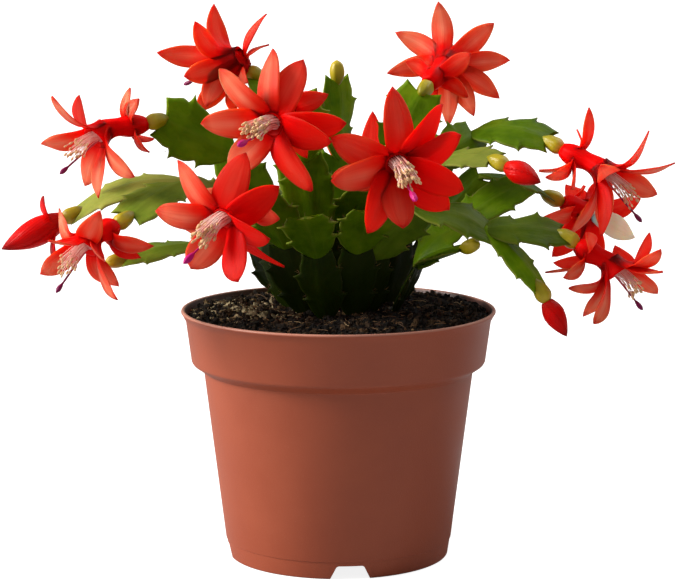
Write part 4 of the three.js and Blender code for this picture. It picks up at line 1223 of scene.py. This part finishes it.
# %% Put the bristles on
BRISTLES_A_NOTCH = 3
BRISTLE_SPREAD = 0.5


def bristle_piece():
    draw = np.random.default_rng(7)
    roots, aims = [], []
    for root, aim in all_bristles:
        for _ in range(BRISTLES_A_NOTCH):
            way = unit(aim + draw.normal(0, BRISTLE_SPREAD, 3))
            roots.append(root + draw.normal(0, 0.2, 3) + way * 0.5)
            aims.append(way)
    piece = new_object("bristles", roots, [], [])
    aim = piece.data.attributes.new("aim", "FLOAT_VECTOR", "POINT")
    aim.data.foreach_set("vector", np.array(aims).ravel())
    tan = (0.4, (84, 56, 26)), (0.6, (140, 108, 66))
    finish = mottled_finish("dry_bristle", 0.004, 0.0003, *tan, Roughness=0.7)
    run_tree(piece, strewn_bristles, {"Finish": finish, "Length": 1.6 * MM, "Radius": 0.07 * MM})
    return piece


bristles = bristle_piece()
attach(bristles, "root")
print("bristle faces:", len(bristles.data.polygons))

# %% [markdown]
# ## The petals' finish
# A petal is thin and lets light through. It is purest red near the flower's middle and turns coral
# towards its tip, with fine veins along it. Its inner face is more coral than its outer one. Coral also
# stands for painted light: a flower that stands in more light, a petal that faces the light on the left
# and the inner faces of the flowers on the right are painted more coral, and a painted highlight runs
# along the middle of coral petals. So each face carries its own share of coral in "tone". Subsurface
# scattering gives the glow of light that passes through, as it does in the photograph's far petals.

# %% Red petals
def petal_finish():
    material, tree, shader = new_finish(
        "petal_red",
        Roughness=0.5,
        Specular_IOR_Level=0.05,
        Subsurface_Weight=0.85,
        Subsurface_Radius=(1.0, 0.26, 0.15),
        Subsurface_Scale=0.005,
    )
    cloud = use_group(tree, blotches, Patch_Size=0.008, Grain_Size=0.0003)
    line = use_group(tree, veins, Count=7.0, Stretch=1.0, Midrib_Width=0.6)
    # tone is the share of coral: partly the petal's own colour and partly painted light
    along, lit_coral = value_of(tree, "along"), value_of(tree, "tone")
    edge = reckon(tree, "ABSOLUTE", value_of(tree, "across"))
    pure = (0.25, (222, 0, 0)), (0.6, (226, 2, 1)), (0.95, (226, 26, 12)), (1.0, (140, 10, 8))
    coral = (0.28, (226, 2, 1)), (0.5, (240, 48, 24)), (0.88, (248, 120, 88)), (1.0, (182, 36, 26))
    red = blend(tree, lit_coral, ramp(tree, along, *pure), ramp(tree, along, *coral))
    # painted highlight: a pale streak along the midrib of coral petals
    middle = reckon(tree, "MULTIPLY", line["Midrib"], lit_coral)
    shine = ramp(tree, along, (0.35, 0.0), (0.65, 0.6), (1.0, 0.1))
    red = blend(tree, reckon(tree, "MULTIPLY", middle, shine), red, (244, 156, 122))
    red = lay_over(
        tree,
        red,
        (line["Veins"], (0.4, 0.0), (0.75, 0.25), (206, 2, 0)),
        (edge, (0.8, 0.0), (1.0, 0.45), (190, 8, 2)),
        (cloud["Patches"], (0.55, 0.0), (0.75, 0.1), (230, 76, 48)),
    )
    red = blend(tree, value_of(tree, "pale"), red, (240, 222, 204))
    feed(tree, shader, Base_Color=red, Roughness=ramp(tree, cloud["Patches"], (0.3, 0.44), (0.7, 0.56)))
    relief(tree, shader, line["Veins"], 0.00016)
    return material


throat = (0.35, (224, 110, 120)), (0.65, (246, 200, 196))
flower_finishes = [petal_finish(), mottled_finish("throat_pink", 0.002, 0.0003, *throat, Roughness=0.5)]
print("flower finishes:", [finish.name for finish in flower_finishes])

# %% [markdown]
# ## One petal
# A petal arches out from the flower's tube to its tip along a curve of three control points: its root,
# the place where it bends and its tip. Across that curve it is a shallow trough, with a groove down its
# middle and a slightly wavy edge. Slim petals turn their faces some way to the front. A seeded draw gives
# each petal its own cup, twist and wave, because petals that are all alike look moulded.

# %% Kinds of petal
FULL_PETAL = {
    "width": 11.8, "hug": 4.1, "wrap": 0.4, "start": 3.8, "sink": 2.6, "twist": 0.3,
    "facing": 0, "inner": 0.15, "dish": (-0.9, 0.5),
    "shape": [
        (0, 0.44), (0.2, 0.68), (0.4, 0.92), (0.58, 1), (0.75, 0.95), (0.88, 0.72), (0.955, 0.4), (1, 0.03)
    ],
}
SLIM_PETAL = {
    "width": 8.8, "hug": 4.6, "wrap": 0.5, "start": 4.4, "sink": 5.0, "twist": 0.4,
    "facing": 0.38, "inner": 0.65, "dish": (-0.9, 0.9),
    "shape": [
        (0, 0.76), (0.2, 0.76), (0.4, 0.9), (0.6, 1), (0.78, 0.86), (0.9, 0.52), (0.97, 0.22), (1, 0.02)
    ],
}
LOWER_PETAL = {
    "width": 7.2, "hug": 3.6, "wrap": 0.45, "start": 3.2, "sink": 2.6, "twist": 0.5,
    "facing": 0.2, "inner": 0.3, "dish": (-0.9, 0.5),
    "shape": [(0, 0.8), (0.25, 0.84), (0.5, 0.97), (0.68, 1), (0.84, 0.74), (0.95, 0.32), (1, 0.02)],
}
print("widths of the petals in mm:", [kind["width"] for kind in (FULL_PETAL, SLIM_PETAL, LOWER_PETAL)])

# %% Build a petal
PETAL_RISE = 0.3
PETAL_BEND = 1.1
PETAL_ROWS = 24
PETAL_COLUMNS = 13
PETAL_MIDDLE = 0.36
PETAL_EDGE = 0.12
GROOVE_DEPTH = 0.22
GROOVE_WIDTH = 0.14
PLEAT_DEPTH = 0.06
OUTER_WARMTH = 0.1
OWN_WARMTHS = (-0.1, 0.45)
LEFT_LIT_CORAL = 0.5
PETAL_WIDTHS = (0.95, 1.08)
PETAL_SWING = 0.9
PETAL_WAVES = (0.15, 0.5)
MOST_TURN = 1.1
TO_FRONT = np.array((0.0, -1.0, 0.0))


def petal(root, axis, place, kind, glow, draw, facing=None):
    """One petal from its place in the list. Its kind says how tightly its root hugs the tube ("hug" is the
    radius) and over what share of its length ("wrap"), and how much of its coral, painted light included, its
    inner face has."""
    upright, right = upright_frame(axis)
    turn, lean = (math.radians(angle) for angle in place[:2])
    reach, pale, own_twist = (*place[2:], 0, 0)[:3]
    outward = upright * math.cos(turn) + right * math.sin(turn)
    # petals that face left, towards the key light, get painted light as more coral
    lit_coral = glow + kind["inner"] - LEFT_LIT_CORAL * (1 - kind["inner"]) * outward[0] + draw.uniform(*OWN_WARMTHS)
    # flowers further right get painted light through their inner faces as more coral
    lit_coral += kind["inner"] * np.clip(root[0] / 100, 0, 0.6)
    sideways = np.cross(axis, outward)
    controls = [
        root + outward * kind["start"] * 0.86 - axis * kind["sink"],
        root + outward * (kind["start"] + PETAL_BEND) + axis * PETAL_RISE * reach,
        root + reach * (axis * math.cos(lean) + outward * math.sin(lean)),
    ]
    share = np.linspace(0, 1, PETAL_ROWS)
    spine, slope = bezier(controls, share)
    front = unit(np.cross(slope, sideways))
    half = (smooth(kind["shape"], share) * kind["width"] / 2 * draw.uniform(*PETAL_WIDTHS))[:, None]
    share = share[:, None]
    lane = np.linspace(-1, 1, PETAL_COLUMNS)[None, :]
    aside = math.atan(-(sideways @ TO_FRONT) / (front[-1] @ TO_FRONT + 0.001))
    facing = kind["facing"] if facing is None else facing
    twist = own_twist + draw.uniform(-1, 1) * kind["twist"] + np.clip(aside * facing, -MOST_TURN, MOST_TURN)
    twist = twist * share**0.8
    over = sideways * np.cos(twist) + front * np.sin(twist)
    out = front * np.cos(twist) - sideways * np.sin(twist)
    fade = np.clip(share / kind["wrap"], 0, 1)
    curl = (1 - fade * fade * (3 - 2 * fade)) / kind["hug"] + 0.0001
    arch = np.sin(np.pi * share)
    swing = draw.uniform(-PETAL_SWING, PETAL_SWING) * arch
    bowl = draw.uniform(*kind["dish"]) * np.sin(np.pi * share**0.8) * lane**2
    groove = -GROOVE_DEPTH * arch * np.exp(-((lane / GROOVE_WIDTH) ** 2))
    pleat = PLEAT_DEPTH * arch * np.cos(lane * 15)
    ruffle = draw.uniform(*PETAL_WAVES) * share * np.abs(lane) ** 3
    wave = ruffle * np.sin(lane * 2 + share * 9 + draw.uniform(0, 6))
    thick = PETAL_EDGE + (PETAL_MIDDLE - PETAL_EDGE) * (1 - lane**2)
    sweep = np.sin(half * lane * curl) / curl + swing
    lift = (1 - np.cos(half * lane * curl)) / curl + bowl + groove + pleat + wave
    middle = spine[:, None, :] + over[:, None, :] * sweep[..., None]
    inner = middle + out[:, None, :] * (lift + thick)[..., None]
    outer = middle + out[:, None, :] * (lift - thick)[..., None]
    rings = np.concatenate([inner, outer[:, ::-1]], axis=1)
    lanes = np.concatenate([lane, lane[:, ::-1]], axis=1)
    tone = np.clip(np.where(np.arange(lanes.size) < PETAL_COLUMNS, lit_coral, glow + OUTER_WARMTH), 0, 1)[None]
    return patch(rings, 0, along=share, across=lanes, tone=tone, pale=pale)


trial = petal(0 * UP, TO_FRONT, (0, 60, 20), FULL_PETAL, 0, np.random.default_rng(0))
print("points in a petal:", len(trial["points"]))

# %% [markdown]
# ## The flowers
# Each flower stands on the ovary at the end of a branch. Its mouth is the middle of the tube's rim, and
# the stigma shows the way that it faces. A petal in the list is its turn from upright round the flower,
# how far it opens from the flower's axis, and its reach, and for a few how white it is and a twist of
# their own. Upper petals grow from the mouth, and lower ones from the tube behind it.

# %% Tube and petals
TUBE_SIDES = 28
TUBE_ROWS = 14
FULL_MOUTH = 4.3
SLIM_MOUTH = 5.0
LOWER_SHARE = 0.32
LOWER_GLOW = 0.2
TUBE_RED = 0.3
TUBE_SHAPE = [(0, 0.54), (0.1, 0.74), (0.24, 0.84), (0.52, 0.68), (0.8, 0.84), (1, 1.0)]
COLLAR_STEPS = [(0.7, 1.04), (1.3, 1.04), (1.2, 0.92), (0.2, 0.76), (0.05, 0.7), (0.0, 0.02)]
BUTTON_STEPS = [(-1.0, 0.6), (-0.1, 0.62), (0.22, 0.45), (0.26, 0.02)]


def flower_lines(bloom):
    """Where the flower's mouth is, the way that it faces, and where its tube starts and points."""
    mouth, stigma = np.array(bloom["mouth"], float), np.array(bloom["stigma"], float)
    tip, aim = way_to(bloom["on"], mouth)
    return mouth, stigma, unit(stigma - mouth), tip + aim * (OVARY_LENGTH + GAP), aim


def petals_piece(name, bloom, seed):
    draw = np.random.default_rng(seed)
    mouth, _, axis, throat, aim = flower_lines(bloom)
    length = np.linalg.norm(mouth - throat)
    share = np.linspace(0, 1, TUBE_ROWS)
    controls = [throat, throat + aim * length * 0.4, mouth - axis * length * 0.35, mouth]
    places, directions = bezier(controls, share)
    kind, radius = (FULL_PETAL, FULL_MOUTH) if bloom.get("full") else (SLIM_PETAL, SLIM_MOUTH)
    foot = socket(throat, aim, TUBE_SHAPE[0][1] * radius, TUBE_SIDES)
    tube = round_rings(places, directions, smooth(TUBE_SHAPE, share) * radius, TUBE_SIDES, soft_ribs(7, 0.05))
    collar, button = (
        straight_rings(mouth, axis, depths, np.array(sizes) * radius, TUBE_SIDES)
        for depths, sizes in (zip(*COLLAR_STEPS), zip(*BUTTON_STEPS))
    )
    reach = np.concatenate([np.zeros(len(foot)), share * TUBE_RED, np.full(len(collar), TUBE_RED)])[:, None]
    tube_rings = np.concatenate([foot, tube, collar])
    patches = [patch(tube_rings, 0, along=reach, tone=0.2), patch(button, 1, along=0.5)]
    glow = bloom.get("glow", 0)
    for place in bloom["upper"]:
        patches.append(petal(mouth, axis, place, kind, glow, draw, bloom.get("facing")))
    behind = throat + aim * LOWER_SHARE * length
    for place in bloom["lower"]:
        patches.append(petal(behind, aim, place, LOWER_PETAL, glow * LOWER_GLOW, draw))
    return make_piece(name + "_petals_fine", patches, flower_finishes)


for number, (name, bloom) in enumerate(BLOOMS.items()):
    stand_for(petals_piece(name, bloom, 200 + number), name + "_petals")

# %% [markdown]
# ## The stamens
# A brush of fine filaments, 68 in the full flowers and 36 in the slim ones, stands on a pinkish disc in
# the mouth, each with a cream anther full of pollen. A filament is a chain of points that a Geometry
# Nodes tree turns into a curve and sweeps with a small circle. The same tree puts an anther on the far
# end of every curve, turned along it.

# %% Stamen tree
def stamen_tree():
    sizes = {"Filament Radius": 0.0002, "Anther Radius": 0.0005, "Anther Length": 3.0, "Seed": 5}
    finishes = dict.fromkeys(("Filament Finish", "Anther Finish"), "Material")
    tree, given, result = geometry_tree("stamens", {**sizes, **finishes})
    curves = add(tree, "GeometryNodeMeshToCurve", {"Mesh": given["Geometry"]})
    circle = {"Resolution": 5, "Radius": given["Filament Radius"]}
    threads = swept(tree, curves, add(tree, "GeometryNodeCurvePrimitiveCircle", circle))
    stretch = add(tree, "ShaderNodeCombineXYZ", {"X": 1.0, "Y": 1.0, "Z": given["Anther Length"]})
    size = {0: stretch, "Scale": chance(tree, 0.8, 1.2, given["Seed"])}
    ball = {"Radius": given["Anther Radius"], "Subdivisions": 2}
    set_out = {
        "Points": curves,
        "Selection": add(tree, "GeometryNodeCurveEndpointSelection", {"Start Size": 0, "End Size": 1}),
        "Instance": add(tree, "GeometryNodeMeshIcoSphere", ball),
        "Rotation": aligned(tree, add(tree, "GeometryNodeInputTangent")),
        "Scale": add(tree, "ShaderNodeVectorMath", size, operation="SCALE"),
    }
    anthers = realized(tree, add(tree, "GeometryNodeInstanceOnPoints", set_out))
    parts = [dressed(tree, threads, given["Filament Finish"]), dressed(tree, anthers, given["Anther Finish"])]
    both = add(tree, "GeometryNodeJoinGeometry", {"Geometry": parts})
    tree.links.new(add(tree, "GeometryNodeSetShadeSmooth", {"Geometry": both}), result[0])
    return tree


stamens_tree = stamen_tree()
pinks = (0.35, (244, 158, 146)), (0.65, (254, 224, 212))
creams = (0.35, (226, 172, 120)), (0.65, (244, 208, 160))
brush_finishes = {
    "Filament Finish": mottled_finish("filament_pink", 0.006, 0.0003, *pinks, Roughness=0.45),
    "Anther Finish": mottled_finish("anther_cream", 0.001, 0.00015, *creams, 0.0002, Roughness=0.85),
}
print("stamen finishes:", [finish.name for finish in brush_finishes.values()])

# %% Build the stamens
FILAMENT_STEPS = 7
STAMEN_LIFT = 0.7
STAMEN_RISE = 1.5
STAMEN_STRAY = 0.45
BRUSH_HEIGHT = 0.8
GOLDEN_ANGLE = math.pi * (3 - math.sqrt(5))
FULL_BRUSH = {
    "count": 68, "disc": 3.3, "spread": 4.1, "near": 0.3, "far": 0.64, "thread": 0.22, "anther": 0.52
}
SLIM_BRUSH = {
    "count": 36, "disc": 2.9, "spread": 4.0, "near": 0.3, "far": 0.66, "thread": 0.12, "anther": 0.38
}


def stamens_piece(name, bloom, seed):
    draw = np.random.default_rng(seed)
    mouth, stigma, axis, _, _ = flower_lines(bloom)
    upright, right = upright_frame(axis)
    brush = FULL_BRUSH if bloom.get("full") else SLIM_BRUSH
    seat = mouth + axis * GAP + upright * STAMEN_LIFT
    points, edges = [], []
    for number in range(brush["count"]):
        spot = math.sqrt((number + 0.5) / brush["count"])
        angle = number * GOLDEN_ANGLE
        around = right * math.cos(angle) + BRUSH_HEIGHT * upright * math.sin(angle)
        base = brush["disc"] * spot * around
        flare = brush["spread"] * spot * around
        reach = np.linalg.norm(stigma - mouth) * draw.uniform(brush["near"], brush["far"])
        controls = [
            seat + base,
            seat + base * 0.8 + axis * reach * 0.5 + upright * (STAMEN_RISE + 0.5),
            seat + flare + axis * reach + upright * STAMEN_RISE + draw.normal(0, STAMEN_STRAY, 3),
        ]
        thread, _ = bezier(controls, np.linspace(0, 1, FILAMENT_STEPS))
        edges.extend((len(points) + i, len(points) + i + 1) for i in range(FILAMENT_STEPS - 1))
        points.extend(thread)
    piece = new_object(name + "_brush", points, edges, [])
    sizes = {
        "Filament Radius": brush["thread"] * MM,
        "Anther Radius": brush["anther"] * MM,
        "Anther Length": 2.0,
    }
    run_tree(piece, stamens_tree, {"Seed": seed, **sizes, **brush_finishes})
    return piece


for number, (name, bloom) in enumerate(BLOOMS.items()):
    stand_for(stamens_piece(name, bloom, 300 + number), name + "_stamens")

# %% [markdown]
# ## The style and its stigma
# Below the brush one crimson style reaches out past the anthers. It ends in the magenta stigma, whose
# lobes stay closed in a slim ribbed club. In the slim flowers it is darker, by a value that it carries.

# %% Pistil finish
def pistil_finish():
    material, tree, shader = new_finish("pistil_magenta", Roughness=0.4, Specular_IOR_Level=0.3)
    cloud = use_group(tree, blotches, Patch_Size=0.002, Grain_Size=0.0002)
    along = value_of(tree, "along")
    magentas = (0.0, (236, 130, 130)), (0.5, (190, 20, 70)), (0.78, (196, 0, 108)), (1.0, (200, 6, 126))
    colour = ramp(tree, along, *magentas)
    colour = lay_over(tree, colour, (cloud["Patches"], (0.3, 0.0), (0.7, 0.35), (170, 0, 92)))
    dusk = reckon(tree, "MULTIPLY", value_of(tree, "tone"), ramp(tree, along, (0.3, 0.0), (0.65, 1.0)))
    feed(tree, shader, Base_Color=blend(tree, dusk, colour, (92, 2, 54)))
    relief(tree, shader, cloud["Grain"], 0.0001)
    return material


pistil_magenta = pistil_finish()
print("pistil finish:", pistil_magenta.name)

# %% Build the pistils
STYLE_DROP = 1.4
STYLE_RADIUS = 0.36
FULL_STIGMA = (1.15, 6.6)
SLIM_STIGMA = (0.85, 4.4)
CLUB_SHAPE = [(0.75, 0.8), (0.45, 1.0), (0.15, 0.7)]


def pistil_piece(name, bloom):
    mouth, stigma, axis, _, _ = flower_lines(bloom)
    upright, _ = upright_frame(axis)
    foot = mouth + axis * GAP - upright * STYLE_DROP
    length = np.linalg.norm(stigma - foot)
    full = bloom.get("full")
    radius, club = FULL_STIGMA if full else SLIM_STIGMA
    profile = [
        (0, STYLE_RADIUS * 1.4),
        (length * 0.3, STYLE_RADIUS),
        (length - club * 1.25, STYLE_RADIUS),
        (length - club, STYLE_RADIUS),
        *((length - club * back, radius * size) for back, size in CLUB_SHAPE),
        (length, 0.15),
    ]
    look = {"steps": 40, "lift": soft_ribs(6, 0.1), "tone": 0.0 if full else 0.75}
    body = turned(foot, unit(stigma - foot), profile, ROUND_SIDES, 0, **look)
    return make_piece(name + "_style", [body], [pistil_magenta])


for name, bloom in BLOOMS.items():
    stand_for(pistil_piece(name, bloom), name + "_pistil")

# %% [markdown]
# ## The red buds
# A closed flower is a twist of petals that overlap like a furled umbrella. One turned body gives the
# whole shape. Its radius rises slowly round it and drops at each petal's edge, and the edges wind
# towards the tip.

# %% Bud finish
def bud_finish():
    material, tree, shader = new_finish(
        "bud_red",
        Roughness=0.36,
        Specular_IOR_Level=0.1,
        Subsurface_Weight=0.15,
        Subsurface_Radius=(1.0, 0.15, 0.1),
        Subsurface_Scale=0.003,
    )
    line = use_group(tree, veins, Count=9.0, Stretch=1.0, Midrib_Width=0.15)
    reds = (0.0, (200, 20, 6)), (0.3, (220, 3, 1)), (0.75, (212, 1, 1)), (1.0, (150, 0, 2))
    red = ramp(tree, value_of(tree, "along"), *reds)
    red = lay_over(tree, red, (line["Veins"], (0.5, 0.0), (0.75, 0.2), (222, 40, 24)))
    feed(tree, shader, Base_Color=red)
    relief(tree, shader, line["Veins"], 0.0003)
    return material


bud_red = bud_finish()
print("bud finish:", bud_red.name)

# %% Build the buds
BUD_SHAPE = [(0, 0.52), (0.14, 0.76), (0.34, 0.94), (0.58, 0.84), (0.8, 0.5), (0.94, 0.2), (1, 0.03)]
BUD_ROWS = 36
BUD_SIDES = 48
BUD_PETALS = 4
BUD_TWIST = 0.6
BUD_STEP = 0.07
BUD_SHOULDER = 5


def bud_piece(name, bud, seed):
    draw = np.random.default_rng(seed)
    tip = np.array(bud["tip"], float)
    foot, aim = way_to(bud["on"], tip)
    start = foot + aim * (OVARY_LENGTH + GAP)
    length = np.linalg.norm(tip - start)
    rings = [*socket(start, aim, BUD_SHAPE[0][1] * bud["radius"], BUD_SIDES)]
    hollow = np.zeros(len(rings))
    share = np.linspace(0, 1, BUD_ROWS)
    for at, size in zip(share, smooth(BUD_SHAPE, share)):
        edge = steps_round(BUD_PETALS, BUD_STEP, at * BUD_TWIST)
        rings.extend(straight_rings(start, aim, [at * length], [size * bud["radius"]], BUD_SIDES, edge))
    share = np.concatenate([hollow, share])[:, None]
    turn = np.linspace(0, 1, BUD_SIDES, endpoint=False)[None, :]
    lane = np.mod(turn * BUD_PETALS + share * BUD_TWIST, 1.0) * 2 - 1
    patches = [patch(np.stack(rings), 0, along=share, across=lane, tone=draw.uniform(0, 1))]
    for place in bud.get("lower", []):
        patches.append(petal(start + aim * BUD_SHOULDER, aim, place, LOWER_PETAL, 0, draw))
    return make_piece(name + "_furled", patches, [bud_red])


for number, (name, bud) in enumerate(BUDS.items()):
    stand_for(bud_piece(name, bud, 400 + number), name)

# %% [markdown]
# ## Floor and light
# The photograph has a bright white ground and one large soft light from the left, and its right side
# falls off to a quarter of that brightness. A white floor that is lit as brightly as that would throw
# so much light back that the reds and greens go pale. So the floor is a light table, as studios use: it
# glows for the camera alone, and for every other ray it is plain grey. A sun lamp with a wide disc gives
# the soft side light, and lights the floor evenly however far it reaches. A weak one from above and one
# from behind on the right keep the top and the right rim from going black.

# %% Floor
FLOOR_REACH = 40000
FLOOR_GREY = 0.45
FLOOR_GLOW = 0.86


def pale_floor():
    corners = [(x * FLOOR_REACH, y * FLOOR_REACH, 0) for x, y in ((-1, -1), (1, -1), (1, 1), (-1, 1))]
    floor = new_object("floor", corners, [], [(0, 1, 2, 3)])
    grey = (FLOOR_GREY, FLOOR_GREY, FLOOR_GREY, 1)
    looks = {"Roughness": 0.9, "Specular_IOR_Level": 0.0, "Base_Color": grey, "Emission_Strength": FLOOR_GLOW}
    material, tree, shader = new_finish("light_table", **looks)
    feed(tree, shader, Emission_Color=add(tree, "ShaderNodeLightPath", out="Is Camera Ray"))
    floor.data.materials.append(material)
    return floor


floor = pale_floor()
print("floor reaches in m:", FLOOR_REACH * MM)

# %% Lights
WORLD_LIGHT = 0.27


def sun(name, strength, turn, height, width, colour=(1, 1, 1)):
    """A wide sun. turn is where it stands, from the front towards the right, and height above the floor."""
    data = bpy.data.lights.new(name, "SUN")
    data.energy = strength
    data.angle = math.radians(width)
    data.color = colour
    lamp = bpy.data.objects.new(name, data)
    lamp.rotation_euler = (math.radians(90 - height), 0, math.radians(turn))
    bpy.context.scene.collection.objects.link(lamp)


sun("key", 5.2, -86, 28, 30, (1.0, 0.98, 0.95))
sun("top", 0.35, -20, 75, 40)
sun("rim", 1.1, 135, 42, 40)

world = bpy.data.worlds.new("studio")
world.use_nodes = True
background = world.node_tree.nodes["Background"]
background.inputs["Color"].default_value = (1, 1, 1, 1)
background.inputs["Strength"].default_value = WORLD_LIGHT
bpy.context.scene.world = world
bpy.context.scene.view_settings.view_transform = "Standard"
print("lights:", [lamp.name for lamp in bpy.data.lights])
